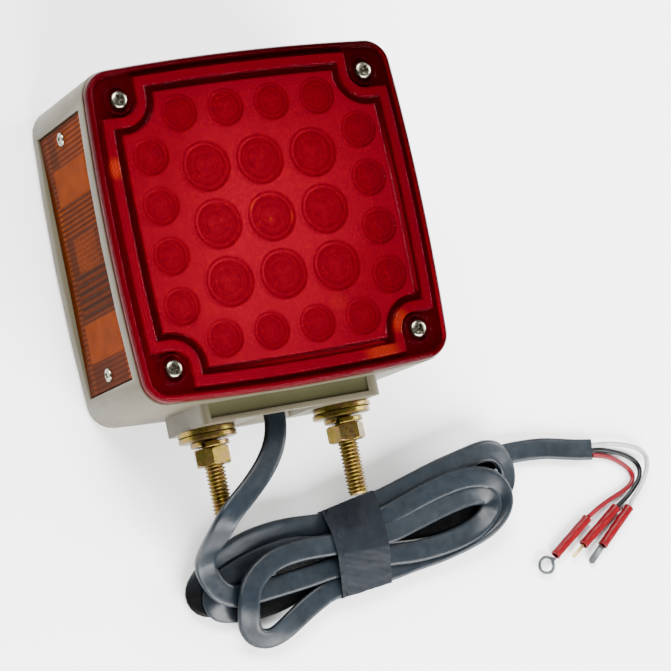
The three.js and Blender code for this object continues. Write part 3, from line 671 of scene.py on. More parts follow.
# ---- Wires that leave the jacket, in millimetres ----
WHITE_ROUTE = [
    (147.2, -81.6, 2.8), (152, -81.9, 3.4), (158, -82.9, 3.4), (164, -84.6, 3.2),
    (168.8, -86.9, 3.2), (171, -90.4, 3.4), (170, -94.6, 4), (167.6, -98.4, 4.2),
    (164.2, -102.6, 4.3), (161.1, -106.2, 2.8), (159.4, -108.6, 2.1),
]
BLACK_ROUTE = [
    (147.2, -83.6, 1.6), (152, -84, 1.4), (157, -85.6, 1.2), (162.2, -87.8, 1.2), (166.4, -91, 1.3),
    (167.9, -94.6, 1.5), (166.2, -98.4, 2.2), (162.8, -101.8, 2.4), (158.4, -105.2, 2.2),
    (153.6, -107.9, 2.1),
]
RED_ROUTE = [
    (147.2, -85.8, 2), (150.6, -86.3, 1.4), (155, -87.7, 1.2), (159.4, -90.4, 1.2),
    (163, -93.8, 1.2), (164.2, -97, 1.2), (162.4, -100, 1.2), (158, -102.3, 1.2),
    (150.6, -104.8, 1.3), (144.4, -107.3, 1.7), (139.4, -109.7, 2.1),
]
WIRE_RADIUS = 1 * MM
WIRE_SIDES = 16
WIRE_STEP = 0.8 * MM


def add_wire(name, route, look, node, slot):
    path = [Vector(row) for row in spline(in_metres(route), WIRE_STEP)]
    section = [around(WIRE_RADIUS, a)[:2] for a in circle(WIRE_SIDES)]
    points, faces = sweep(path, [0] * len(path), section)
    wire = piece(name, points, faces, look, smooth=60, slot=slot)
    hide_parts(node)


def add_wires():
    rows = (("white", WHITE_ROUTE, "blade"), ("black", BLACK_ROUTE, "pin"), ("red", RED_ROUTE, "ring"))
    for colour, route, end in rows:
        add_wire(colour + "_lead_wire", route, LOOKS[colour], colour + "_wire", "wire_" + colour)


add_wires()

# ---- Front lens ----
BOW = 2.2 * MM  # how much further out the middle of each side stands than its ends
CORNER = 8.4 * MM
SCREW_X = 49.8 * MM
SCREW_Y = 50.1 * MM
RIM = 2.3 * MM
LENS_BEVEL = 1.7 * MM
BAND_START = 4.5 * MM
BAND = 3.9 * MM
FIELD_START = BAND + 2.6 * MM  # a groove parts the raised band from the field of optics
GROOVE_DEPTH = 1.3 * MM
POCKET = 6.7 * MM
BOSS_INNER = 4.7 * MM
BOSS_OUTER = 5.7 * MM
BOSS_DROP = 1.2 * MM
LENS_TOP = LENS_FACE - 0.3 * MM
LENS_FLOOR = LENS_FACE - 2.6 * MM
LENS_OUTLINE_Z = 63.5 * MM
LENS_INNER = 62.6 * MM
LENS_CELLS = 360
HALVINGS = 40
SKIRT_END = HOUSING_TOP + 0.2 * MM
LENS_CROWDING = 0.95  # rows stand closer together near the edges, where the fine steps are
INWARD = 0.975
OPTIC_RADIUS = 7.0 * MM
WIDE_OPTIC_RADIUS = 9.4 * MM
OPTIC_SPACING = 18.7 * MM
WIDE_OPTIC_SPACING = 21.7 * MM
OPTIC_EDGE = 42.3 * MM
OPTIC_SHIFT = 0.4 * MM
OPTIC_SINK = 0.9 * MM
SEAM_HALF = 0.25 * MM
SEAM_DEPTH = 0.16 * MM
# Grooves inside each optic, as shares of its radius and their depth.
OPTIC_GROOVES = ((0.72, 0.80, 0.35 * MM), (0.40, 0.47, 0.25 * MM))
FLUTE_DEPTH = 0.10 * MM
RIB_DEPTH = 0.32 * MM
# Painted rings of light and shade on each optic: where they start and end, as shares of its radius,
# how much lighter they are, and how much that changes towards its lower right.
OPTIC_RINGS = (
    (0.83, 0.89, 0.22, -0.14),
    (0.73, 0.79, -0.15, -0.05),
    (0.53, 0.58, 0.12, 0.0),
    (0.45, 0.49, -0.14, 0.0),
)
# Painted orange glints on the band: (x, y, radius) in millimetres, how strong they are and how far stripes
# cut them.
BAND_GLINTS = (
    (-56.4, 25.0, 5, 0.75, 1.0),
    (42.5, -46.0, 6, 0.40, 0.6),
    (33.0, -57.2, 9, 0.42, 0.7),
)
# Painted orange glints on the ring of the middle optic, as (x, y, radius) in millimetres and how strong they
# are.
RING_GLINTS = ((-6.4, 5.0, 3.6, 0.8), (8.0, -1.4, 2.6, 0.48))


def lens_inset(x, y):
    """Distance inside the lens outline, for places from the lens centre."""
    flat = LENS_HALF - BOW
    u = np.abs(x) / (1 + BOW / flat * (1 - (y / flat) ** 2))
    v = np.abs(y) / (1 + BOW / flat * (1 - (x / flat) ** 2))
    out_x, out_y = u - (flat - CORNER), v - (flat - CORNER)
    beyond = np.hypot(np.maximum(out_x, 0), np.maximum(out_y, 0)) + np.minimum(np.maximum(out_x, out_y), 0)
    return CORNER - beyond


def screw_distance(x, y):
    return np.hypot(np.abs(x) - SCREW_X, np.abs(y) - SCREW_Y)


def pocket_distance(x, y):
    """Distance from the quarter planes that run outward from the lens screws."""
    return np.hypot(np.maximum(SCREW_X - np.abs(x), 0), np.maximum(SCREW_Y - np.abs(y), 0))


def lens_pattern(x, y):
    """Distance inside the edge of the raised part of the lens, which steps back round its four screws."""
    return np.minimum(lens_inset(x, y) - BAND_START, pocket_distance(x, y) - POCKET)


def along_side(x, y):
    """Distance along the nearest side of the lens, from its middle."""
    return np.where(np.abs(x) > np.abs(y), y, x)


def optic_places():
    """Every optic as (x, y, radius) from the lens centre: a ring of sixteen and a grid of nine."""
    places = []
    for along in (-1.5, -0.5, 0.5, 1.5):
        at = along * OPTIC_SPACING
        for side in (-1, 1):
            places.append((at, side * OPTIC_EDGE + OPTIC_SHIFT, OPTIC_RADIUS))
            places.append((side * OPTIC_EDGE, at, OPTIC_RADIUS))
    for column in (-1, 0, 1):
        for row in (-1, 0, 1):
            places.append((column * WIDE_OPTIC_SPACING, row * WIDE_OPTIC_SPACING, WIDE_OPTIC_RADIUS))
    return places


def lens_outer(x, y):
    """Height of the outside of the lens."""
    inset = lens_inset(x, y)
    pattern = lens_pattern(x, y)
    rim_top = LENS_OUTLINE_Z + (LENS_TOP - LENS_OUTLINE_Z) * quarter_round(inset, LENS_BEVEL)
    z = rim_top + (LENS_FLOOR - rim_top) * ease(RIM - EASE, RIM + EASE, inset)
    raised = ease(-EASE, EASE, pattern)
    z = z + (LENS_TOP - LENS_FLOOR) * raised
    z = z - GROOVE_DEPTH * within(BAND, FIELD_START, pattern)
    boss = within(BOSS_INNER, BOSS_OUTER, screw_distance(x, y)) * (1 - raised)
    z = z + (LENS_TOP - LENS_FLOOR - BOSS_DROP) * boss
    for ox, oy, radius in optic_places():
        r = np.hypot(x - ox, y - oy)
        z = z - SEAM_DEPTH * within(radius - SEAM_HALF, radius + SEAM_HALF, r, FINE_EASE)
    return z


def lens_inner(x, y):
    """Height of the inside of the lens, with its flutes and its bull's-eye optics."""
    z = np.full_like(x, LENS_INNER)
    pattern = lens_pattern(x, y)
    field = ease(FIELD_START, FIELD_START + EASE, pattern)
    flutes = ribs_of(x * 0.55 + y * 0.83, 1.2 * MM)
    ribs = ribs_of(lens_inset(x, y) + 0.03 * along_side(x, y), 0.9 * MM)
    plain = np.ones_like(x)
    for ox, oy, radius in optic_places():
        r = np.hypot(x - ox, y - oy)
        plain = plain * (1 - ease(radius + FINE_EASE, radius - FINE_EASE, r))
        z = z - OPTIC_SINK * np.clip(1 - (r / radius) ** 2, 0, 1)
        for start, end, depth in OPTIC_GROOVES:
            z = z - depth * within(start * radius, end * radius, r, EASE / 2)
    return z - FLUTE_DEPTH * flutes * field * plain - RIB_DEPTH * ribs * within(0, BAND, pattern)


def optic_light(x, y, radius):
    """Painted light and shade of an optic: how much lighter it makes the lens, for places from the optic's
    centre, with a painted fan of light near its middle.
    """
    r = np.hypot(x, y)
    toward = (x - y) / radius  # 1 or more towards the disc's lower right
    light = -0.24 * ease(radius + 0.1 * MM, radius - 0.3 * MM, r)
    light = light - (0.20 + 0.16 * toward) * within(radius - 0.4 * MM, radius + 0.35 * MM, r, FINE_EASE)
    for start, end, lighter, change in OPTIC_RINGS:
        light = light + (lighter + change * toward) * within(start * radius, end * radius, r, FINE_EASE)
    fan = 0.5 + 0.5 * np.cos(3 * (np.arctan2(y, x) - 2.6))
    return light + 0.14 * fan * ease(0.62 * radius, 0.1 * radius, r)


def lens_shade(x, y):
    """Painted light and shade on the moulding, from 0 to 1: its floors and steps are painted darkest, and it
    is painted lighter towards the bottom left and the middle.
    """
    pattern = lens_pattern(x, y)
    inset = lens_inset(x, y)
    tilt = (x + y) / (2 * LENS_HALF)  # from -1 at the bottom left to 1 at the top right
    facing = (x - y) / (2 * LENS_HALF)
    reach = np.hypot(x, y) / LENS_HALF
    field = ease(FIELD_START - 0.2 * MM, FIELD_START + 0.4 * MM, pattern)
    fine = ribs_of(inset + 0.06 * along_side(x, y), 1.05 * MM)
    # Painted light: the groove's floor is painted bright along the bottom and the right, up to short of the
    # pockets.
    straight = ease(2.0 * MM, 3.2 * MM, pocket_distance(x, y) - POCKET - (inset - BAND_START))
    ledge = within(BAND + 0.6 * MM, FIELD_START - 0.6 * MM, pattern, FINE_EASE) * straight
    light = field * (0.92 - 0.14 * tilt - 0.20 * reach)
    light = light + within(0, BAND, pattern) * (0.72 - 0.16 * tilt - 0.26 * fine)
    light = light + 0.55 * ledge * ease(0.1, 0.4, facing)
    # Painted light on the sunken edge and the rim: lighter towards the bottom left, darker towards the top
    # right.
    light = light + (0.10 - 0.12 * tilt) * (1 - ease(-EASE, EASE, pattern))
    light = light + (0.16 - 0.30 * tilt) * (1 - ease(RIM - EASE, RIM + EASE, inset)) + 0.02
    plain = np.ones_like(x)
    for ox, oy, radius in optic_places():
        plain = plain * (1 - ease(radius + 0.1 * MM, radius - 0.3 * MM, np.hypot(x - ox, y - oy)))
        light = light + optic_light(x - ox, y - oy, radius)
    # Painted shade in fine lines over the plain field, upright near the left and slanting near the lower
    # right.
    upright = ribs_of(x + 0.2 * y, 1.1 * MM) * ease(-18 * MM, -34 * MM, x)
    slanted = ribs_of(x + y, 1.5 * MM) * ease(8 * MM, 24 * MM, x) * ease(-8 * MM, -24 * MM, y)
    return np.clip(light - 0.10 * field * plain * (upright + slanted), 0, 1)


def lens_glint(x, y):
    """Painted orange glints: how far the moulding is painted orange, where its prisms turn the light towards
    one.
    """

    def spot(px, py, radius):
        return ease(radius * MM, 0.25 * radius * MM, np.hypot(x - px * MM, y - py * MM))

    pattern = lens_pattern(x, y)
    band = within(0, BAND, pattern)
    stripes = ribs_of(x - y, 1.6 * MM)
    ring = within(0.86 * WIDE_OPTIC_RADIUS, 0.90 * WIDE_OPTIC_RADIUS, np.hypot(x, y), EASE / 2)
    glint_amount = 0.3 * spot(-0.6, -1.2, 1.0)
    for px, py, radius, strength, cut in BAND_GLINTS:
        glint_amount = glint_amount + strength * band * (1 - cut + cut * stripes) * spot(px, py, radius)
    for px, py, radius, strength in RING_GLINTS:
        glint_amount = glint_amount + strength * ring * spot(px, py, radius)
    in_field = ease(0, 0.4 * MM, pattern - FIELD_START)
    glint_amount = glint_amount + 0.12 * ribs_of(x + y, 1.5 * MM) * in_field * spot(20, -35.5, 5)
    return np.clip(glint_amount, 0, 1)


def outline_radius(angle):
    """How far the lens outline is from its centre in a direction, found by halving."""
    low, high = np.full_like(angle, LENS_HALF * 0.9), np.full_like(angle, LENS_HALF * 1.5)
    for _ in range(HALVINGS):
        middle = (low + high) / 2
        inside = lens_inset(middle * np.cos(angle), middle * np.sin(angle)) > 0
        low, high = np.where(inside, middle, low), np.where(inside, high, middle)
    return low


def square_grid():
    """Places on a grid of squares scaled from the lens outline towards its centre."""
    line = np.sin(LENS_CROWDING * np.linspace(-1, 1, LENS_CELLS + 1)) / math.sin(LENS_CROWDING)
    u, v = np.meshgrid(line, line)
    scale = np.maximum(np.abs(u), np.abs(v))
    angle = np.arctan2(v, u)
    radius = scale * outline_radius(angle)
    return radius * np.cos(angle), radius * np.sin(angle)


def add_front_lens():
    x, y = square_grid()
    in_x, in_y = x * INWARD, y * INWARD
    index = np.arange(x.size).reshape(x.shape)
    border = border_of(index)
    outer = np.stack([x, y + LENS_Y, lens_outer(x, y)], axis=-1).reshape(-1, 3)
    inner = np.stack([in_x, in_y + LENS_Y, lens_inner(in_x, in_y)], axis=-1).reshape(-1, 3)
    skirt = outer[border].copy()
    skirt[:, 2] = SKIRT_END
    inner_skirt = skirt.copy()
    inner_skirt[:, 0] *= INWARD
    inner_skirt[:, 1] = (inner_skirt[:, 1] - LENS_Y) * INWARD + LENS_Y
    first = 2 * x.size + np.arange(len(border))
    second = first + len(border)
    faces = [
        grid_faces(index),
        grid_faces(index, flip=True) + x.size,
        strip_faces(border, first),
        strip_faces(first, second),
        strip_faces(second, x.size + border),
    ]
    points = np.vstack([outer, inner, skirt, inner_skirt])
    lens = piece("red_front_lens", points, np.vstack(faces), LOOKS["red_lens"], smooth=0, slot="red_lens")
    # Painted light on the skirt: lighter towards the bottom left, darker towards the top right.
    tilt = (skirt[:, 0] + skirt[:, 1] - LENS_Y) / (2 * LENS_HALF)
    skirt_shade = np.clip(0.16 - 0.30 * tilt, 0, 1)
    shades = [lens_shade(x, y).ravel(), lens_shade(in_x, in_y).ravel(), skirt_shade, skirt_shade]
    glints = [lens_glint(x, y).ravel(), lens_glint(in_x, in_y).ravel(), np.zeros(2 * len(border))]
    mark(lens, "shade", np.concatenate(shades))
    mark(lens, "glint", np.concatenate(glints))
    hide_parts("front_lens")


add_front_lens()

# ---- LEDs behind the front lens ----
BOARD_TOP = 47.8 * MM
LEAD_OFFSET = 0.9 * MM
DOME_RADIUS = 2.5
DOME_BASE = 4.0
DOME_HEIGHT = 2.3
DOME_STEPS = 9
DOME_SIDES = 28
LEAD_SIDES = 8
# Radius and height of an LED's flange and of the cylinder under its dome, and of a lead, in millimetres.
LED_FLANGE = [(2.9, 0), (2.9, 0.9), (DOME_RADIUS, 1.0), (DOME_RADIUS, DOME_BASE)]
LED_LEAD = [(0.35, 0.2), (0.35, 2.6), (0.75, 2.8), (0.75, 3.4)]


def add_leds():
    """Through-hole LEDs: a flanged epoxy dome on two leads under every optic."""
    profile = list(LED_FLANGE)
    for i in range(1, DOME_STEPS):
        angle = math.pi / 2 * i / DOME_STEPS
        profile.append((DOME_RADIUS * math.cos(angle), DOME_BASE + DOME_HEIGHT * math.sin(angle)))
    dome = lathe([(radius * MM, z * MM) for radius, z in profile], DOME_SIDES)
    lead = lathe([(radius * MM, z * MM) for radius, z in LED_LEAD], LEAD_SIDES)
    domes, leads = [], []
    for x, y, _ in optic_places():
        stand = Matrix.Translation((x, y + LENS_Y, BOARD_TOP))
        domes.append(moved(dome, stand))
        for side in (-1, 1):
            leads.append(moved(lead, stand @ Matrix.Translation((side * LEAD_OFFSET, -0.5 * MM, 0))))
    piece("led_domes", *joined(domes), LOOKS["emitter"], slot="led_epoxy")
    piece("led_leads", *joined(leads), LOOKS["lead"], slot="led_epoxy")


add_leds()

# ---- Screws ----
HEAD_SIDES = 96
HEAD_STEPS = 16
RECESS_ARM = 0.21
RECESS_REACH = 0.66
RECESS_TAPER = 1.3
RECESS_DEPTH = 0.8
RECESS_STEEPNESS = 2.5
# Radius and height of a screw's head, and how far each screw was turned, in radians.
LENS_HEAD = (3.25 * MM, 2.1 * MM)
SIDE_HEAD = (2.6 * MM, 1.5 * MM)
LENS_SPINS = {"top_left": 0.5, "top_right": 1.2, "bottom_left": 0.2, "bottom_right": 0.9}
SIDE_SPINS = {"top": 0.4, "bottom": 1.0}


def pan_head(radius, height):
    """A pan head with a cross recess, standing on z = 0."""
    arm, reach = RECESS_ARM * radius, RECESS_REACH * radius

    def depth_in_arm(along, across):
        return 1 - abs(along) / reach if abs(across) < arm * (RECESS_TAPER - abs(along) / reach) else 0

    made = [[around(radius, a) for a in circle(HEAD_SIDES)]]
    for k in range(HEAD_STEPS, -1, -1):
        r = max(radius * k / HEAD_STEPS, 1e-6)
        dome = height * (0.5 + 0.5 * math.sqrt(max(0, 1 - (k / HEAD_STEPS) ** 4)))
        ring = []
        for a in circle(HEAD_SIDES):
            x, y, _ = around(r, a)
            deep = max(0, depth_in_arm(x, y), depth_in_arm(y, x))
            ring.append((x, y, dome - height * RECESS_DEPTH * min(1, deep * RECESS_STEEPNESS)))
        made.append(ring)
    return rings(made)


def add_screw(name, node, radius, height, axis, spin):
    """A screw head on the outer end of a frame screw, whose axis is X (facing -X) or Z (facing +Z)."""
    low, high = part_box(node)
    middle = (low + high) / 2
    if axis == "Z":
        place = Matrix.Translation((middle.x, middle.y, high.z - height))
    else:
        outward = Matrix.Rotation(-math.pi / 2, 4, "Y")
        place = Matrix.Translation((low.x + height, middle.y, middle.z)) @ outward
    head = moved(pan_head(radius, height), place @ Matrix.Rotation(spin, 4, "Z"))
    screw = piece(name, *head, LOOKS["nickel"], smooth=28, slot="nickel_screw")
    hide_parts(node)


def add_screws():
    for corner, spin in LENS_SPINS.items():
        add_screw("lens_screw_" + corner, "front_lens_screw_" + corner, *LENS_HEAD, "Z", spin)
    for end, spin in SIDE_SPINS.items():
        add_screw("side_screw_" + end, "side_marker_screw_" + end, *SIDE_HEAD, "X", spin)


add_screws()

# ---- Mounting hardware ----
STUD_X = 27.8 * MM
STUD_Z = 31 * MM
STUD_RADIUS = 3.94 * MM
STUD_TIP = 84.6 * MM
ROD_START = 40 * MM
ROD_SIDES = 48
ROWS_PER_PITCH = 12
THREAD_PITCH = 25.4 / 18 * MM
THREAD_DEPTH = 0.86 * MM
THREAD_ROOT = 0.12
THREAD_FLANK = 0.68
TIP_SLOPE = 0.8
WASHER_RADIUS = 11.1 * MM
WASHER_HOLE = 4.7 * MM
WASHER_THICKNESS = 2.1 * MM
WASHER_EDGE = 0.5 * MM
WASHER_SIDES = 72
LOCK_INNER = 4.2 * MM
LOCK_OUTER = 7.4 * MM
LOCK_THICKNESS = 1.9 * MM
LOCK_EDGE = 0.3 * MM
LOCK_RISE = 0.8 * MM
LOCK_GAP = 0.1  # half the gap, in radians
LOCK_TURN = 2.3
NUT_TURN = 0.2
NUT_HEIGHT = 6.67 * MM
NUT_HALF = 6.35 * MM
NUT_BORE = STUD_RADIUS + 0.15 * MM
NUT_LEVELS = [0, 0.12, 0.25, 0.4, 0.55, 0.75, 1.0, 3.33]
NUT_MOUTH = NUT_BORE + 0.6 * MM
NUT_SIDES = 96
BORE_ROWS = 60
BORE_STEP = 0.01 * MM  # how far inside the nut's faces its bore starts
NUT_FACE = NUT_HALF - 0.15 * MM
CHAMFER_SLOPE = 1.7
SIXTH = math.pi / 3


def along_stud(x, y=0.0, z=STUD_Z, spin=0.0):
    """Turns a piece that stands on z = 0 so that it hangs down from height y, about a stud's axis."""
    turn = Matrix.Rotation(math.pi / 2, 4, "X") @ Matrix.Rotation(spin, 4, "Z")
    return Matrix.Translation((x, y, z)) @ turn


def loop_solid(profile, sides, radius_at=lambda angle, radius, height: radius):
    """A ring-shaped solid of revolution about +Z, from a closed loop of [radius, height] pairs."""
    made = []
    for radius, height in profile:
        made.append([around(radius_at(a, radius, height), a, height) for a in circle(sides)])
    return rings(made + [made[0]], capped=False)


def threaded_rod(length):
    """A rod with a V thread, whose free end is chamfered."""
    made = []
    rows = round(length / THREAD_PITCH * ROWS_PER_PITCH)
    for row in range(rows + 1):
        z = length * row / rows
        ring = []
        for i, angle in enumerate(circle(ROD_SIDES)):
            phase = (z / THREAD_PITCH - i / ROD_SIDES) % 1
            flank = np.clip((abs(2 * phase - 1) - THREAD_ROOT) / THREAD_FLANK, 0, 1)
            radius = STUD_RADIUS - THREAD_DEPTH * (1 - flank)
            radius = min(radius, STUD_RADIUS - THREAD_DEPTH + (length - z) * TIP_SLOPE)
            ring.append(around(radius, angle, z))
        made.append(ring)
    return rings(made)


def flat_washer():
    """A flat washer with rounded outer edges."""
    edge = [(WASHER_RADIUS - WASHER_EDGE, 0), (WASHER_RADIUS - 0.15 * WASHER_EDGE, 0.3 * WASHER_EDGE)]
    edge.append((WASHER_RADIUS, WASHER_EDGE))
    upper = [(radius, WASHER_THICKNESS - z) for radius, z in reversed(edge)]
    return loop_solid([(WASHER_HOLE, 0)] + edge + upper + [(WASHER_HOLE, WASHER_THICKNESS)], WASHER_SIDES)


def split_washer():
    """A split lock washer, whose ends stand apart in height and leave a gap between them."""
    inner, outer, edge, top = LOCK_INNER, LOCK_OUTER, LOCK_EDGE, LOCK_THICKNESS
    lower = [(inner, edge), (inner + edge, 0), (outer - edge, 0), (outer, edge)]
    loop = lower + [(radius, top - z) for radius, z in reversed(lower)]
    made = []
    for i in range(WASHER_SIDES + 1):
        angle = LOCK_GAP + (2 * math.pi - 2 * LOCK_GAP) * i / WASHER_SIDES
        lift = LOCK_RISE * i / WASHER_SIDES
        made.append([around(r, angle, z + lift) for r, z in loop])
    points, faces = rings(made)
    return points, [face[::-1] for face in faces]


def hex_nut():
    """A hexagon nut with both faces chamfered and a bore that clears the thread."""
    levels = [z * MM for z in NUT_LEVELS]
    heights = levels + [NUT_HEIGHT - z for z in reversed(levels[:-1])]
    profile = [(NUT_MOUTH, 0)] + [(None, z) for z in heights] + [(NUT_MOUTH, NUT_HEIGHT)]
    for i in range(BORE_ROWS + 1):
        z = NUT_HEIGHT * (1 - i / BORE_ROWS)
        profile.append((NUT_BORE, min(max(z, BORE_STEP), NUT_HEIGHT - BORE_STEP)))

    def radius_at(angle, radius, z):
        if radius is None:
            from_flat = (angle + SIXTH / 2) % SIXTH - SIXTH / 2
            chamfer = NUT_FACE + min(z, NUT_HEIGHT - z) * CHAMFER_SLOPE
            return min(NUT_HALF / math.cos(from_flat), chamfer)
        return radius

    return loop_solid(profile, NUT_SIDES, radius_at)


def add_mounting_hardware():
    for side, away in (("left", -1), ("right", 1)):
        x = away * STUD_X
        rod = moved(threaded_rod(STUD_TIP - ROD_START), along_stud(x, -ROD_START))
        stud = piece("threaded_stud_" + side, *rod, LOOKS["zinc"], smooth=50, slot="zinc_yellow")
        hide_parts("mounting_stud_" + side)
        for layer in ("inner", "outer"):
            node = layer + "_washer_" + side
            low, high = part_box(node)
            middle = (low + high) / 2
            washer = moved(flat_washer(), along_stud(middle.x, high.y, middle.z))
            washer = piece(layer + "_flat_washer_" + side, *washer, LOOKS["zinc"], slot="zinc_yellow")
            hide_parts(node)
        node = "lock_washer_" + side
        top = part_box(node)[1].y
        ring = moved(split_washer(), along_stud(x, top - 0.05 * MM, spin=LOCK_TURN))
        ring = piece("split_washer_" + side, *ring, LOOKS["zinc"], node, slot="zinc_yellow")
        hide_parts(node)
        node = "nut_" + side
        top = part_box(node)[1].y
        nut = moved(hex_nut(), along_stud(x, top, spin=away * NUT_TURN + SIXTH / 2))
        nut = piece("hex_nut_" + side, *nut, LOOKS["zinc"], node, slot="zinc_yellow")
        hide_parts(node)


add_mounting_hardware()

# ---- Side marker lens ----
SIDE_LOW = 8.0 * MM
SIDE_HIGH = 55.6 * MM
SIDE_TOP = 70.7 * MM
SIDE_LENGTH = 100.2 * MM
SIDE_FACE = -62.0 * MM
SIDE_ROWS = 520
SIDE_COLUMNS = 120
SIDE_BEVEL = 0.7 * MM
SIDE_WALL = 1.4 * MM
SIDE_WALL_AT_EDGE = 0.8 * MM
SIDE_RELIEF = 0.5 * MM
RIB_PITCH = 1.9 * MM
FINE_PITCH = 1.1 * MM
# Where its parts start and end, as shares of its length from the top end down.
UPPER_BLOCK = (0.145, 0.285)
LOWER_BLOCK = (0.735, 0.885)
BEADS = (0.285, 0.41)
WINDOW = (0.42, 0.55)
LOWER_RIBS = (0.56, 0.735)
BULB = 0.485


def side_blocks(share, u):
    """1 on the two reflex blocks of the side lens."""
    long = within(*UPPER_BLOCK, share, 0.003) + within(*LOWER_BLOCK, share, 0.003)
    return long * within(0.18, 0.93, u, 0.01)


def side_beads(share, u):
    """1 where rows of beads cross the side lens."""
    return within(*BEADS, share, 0.003) * within(0.12, 0.95, u, 0.01)


def side_shade(share, z):
    """Painted light and shade of the side lens, from 0 to 1. Its margins and lower ribs are painted dark
    where they let one look into the dark, and its beads and teeth carry painted sparkle.
    """
    u = (z - SIDE_LOW) / (SIDE_HIGH - SIDE_LOW)
    along = share * SIDE_LENGTH
    ribs = wave_of(along, RIB_PITCH)
    blocks = side_blocks(share, u)
    beads = side_beads(share, u)
    window = within(*WINDOW, share, 0.004) * within(0.32, 0.80, u, 0.02)
    from_bulb = np.hypot((share - BULB) * SIDE_LENGTH, z - 33 * MM)
    shade = 0.16 + 0.18 * ribs * (0.4 + u)
    top = within(0.02, UPPER_BLOCK[0], share, 0.003) * within(0.35, 0.93, u, 0.04)
    shade = shade + top * (0.30 * ribs + 0.10)
    shade = shade * (1 - blocks) + blocks * (0.70 + 0.10 * wave_of(along, FINE_PITCH))
    # Painted sparkle: bright beads in rows, with dark lines between them.
    bead = ribs * (0.35 + 0.65 * wave_of(z, FINE_PITCH))
    shade = shade * (1 - beads) + beads * (0.12 + 0.75 * bead)
    shade = shade * (1 - window) + window * (0.42 + 0.22 * wave_of(from_bulb, 2.2 * MM))
    lower = within(*LOWER_RIBS, share, 0.003) * within(0.22, 0.93, u, 0.01)
    shade = shade * (1 - lower) + lower * (0.03 + 0.32 * wave_of(along, 2.9 * MM))
    # Painted sparkle: bright teeth along the front margin and fainter ones near the back.
    front = within(0.93, 0.985, u, 0.006) + 0.45 * within(0.10, 0.17, u, 0.01)
    return np.clip(shade + front * 0.75 * ribs, 0, 1)


def side_relief(share, z):
    """Depth of the ribs and beads of the side lens."""
    u = (z - SIDE_LOW) / (SIDE_HIGH - SIDE_LOW)
    along = share * SIDE_LENGTH
    blocks = side_blocks(share, u)
    relief = 0.5 * wave_of(along, RIB_PITCH) * (1 - blocks) + 0.2 * wave_of(along, FINE_PITCH) * blocks
    relief = relief + 0.4 * side_beads(share, u) * wave_of(z, FINE_PITCH)
    return SIDE_RELIEF * relief * within(0.03, 0.97, u, 0.01)


def add_side_lens():
    lines = np.linspace(0, 1, SIDE_ROWS + 1), np.linspace(0, 1, SIDE_COLUMNS + 1)
    share, across = np.meshgrid(*lines, indexing="ij")
    y = SIDE_TOP - SIDE_LENGTH * share
    z = SIDE_LOW + (SIDE_HIGH - SIDE_LOW) * across
    from_end = np.minimum(share, 1 - share) * SIDE_LENGTH
    edge = np.minimum(from_end, np.minimum(across, 1 - across) * (SIDE_HIGH - SIDE_LOW))
    bevel = SIDE_BEVEL * (1 - quarter_round(edge, SIDE_BEVEL))
    relief = side_relief(share, z)
    middle = ease(0, 0.6 * MM, edge)
    depth = (SIDE_WALL + relief) * middle + SIDE_WALL_AT_EDGE * (1 - middle)
    outer = np.stack([SIDE_FACE + bevel + 0.5 * relief, y, z], axis=-1).reshape(-1, 3)
    inner = np.stack([SIDE_FACE + 0.1 * MM + depth, y, z], axis=-1).reshape(-1, 3)
    index = np.arange(share.size).reshape(share.shape)
    border = border_of(index)
    faces = np.vstack([
        grid_faces(index, flip=True),
        grid_faces(index) + share.size,
        strip_faces(border + share.size, border),
    ])
    points = np.vstack([outer, inner])
    lens = piece("amber_side_lens", points, faces, LOOKS["amber_lens"], smooth=0, slot="amber_lens")
    mark(lens, "shade", np.tile(side_shade(share, z).ravel(), 2))
    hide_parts("side_marker_lens")


add_side_lens()

# ---- Tape round the hank ----
TAPE_STATIONS = 46
TAPE_SIDES = 120
TAPE_THICKNESS = 0.55 * MM
TAPE_INNER = 0.2 * MM
RUN_HALF_WIDTH = 4.2 * MM
RUN_HALF_THICKNESS = 1.7 * MM
CREASE_DEPTH = 0.25 * MM
FINE_CREASE_DEPTH = 0.04 * MM
CREASES_ALONG = 140
CREASES_ROUND = 420
FINE_CREASES = 2600
BEND_SCALE = 90
SLANT_LEFT = -1.6
SLANT_RIGHT = -0.8
SLANT_OVER = 20 * MM
LOWEST_OUTER = 0.15 * MM
LOWEST_INNER = 0.3 * MM


def resampled(loop, count):
    """A closed loop of pairs respaced evenly, starting at its point of greatest first value."""
    start = max(range(len(loop)), key=lambda i: loop[i][0])
    loop = np.array(loop[start:] + loop[:start] + [loop[start]])
    along = np.concatenate([[0], np.cumsum(np.linalg.norm(np.diff(loop, axis=0), axis=1))])
    wanted = np.linspace(0, along[-1], count, endpoint=False)
    return list(zip(np.interp(wanted, along, loop[:, 0]), np.interp(wanted, along, loop[:, 1])))


def tape_loop(share):
    """The (y, z) outline drawn tight round the seven runs, at a share of the way across the tape."""
    corners = []
    for (y0, z0), (y1, z1) in RUNS:
        y, z = (y0 + (y1 - y0) * share) * MM, (z0 + (z1 - z0) * share) * MM
        for side in (-1, 1):
            for up in (-1, 1):
                corners.append(Vector((y + side * RUN_HALF_WIDTH, z + up * RUN_HALF_THICKNESS)))
    lines = []
    for angle in circle(TAPE_SIDES):
        direction = Vector(around(1, angle)[:2])
        lines.append((direction, max(corner.dot(direction) for corner in corners)))
    loop = []
    for (d0, r0), (d1, r1) in zip(lines, lines[1:] + lines[:1]):
        turn = d0.x * d1.y - d0.y * d1.x
        loop.append(((r0 * d1.y - r1 * d0.y) / turn, (d0.x * r1 - d1.x * r0) / turn))
    return resampled(loop, TAPE_SIDES)


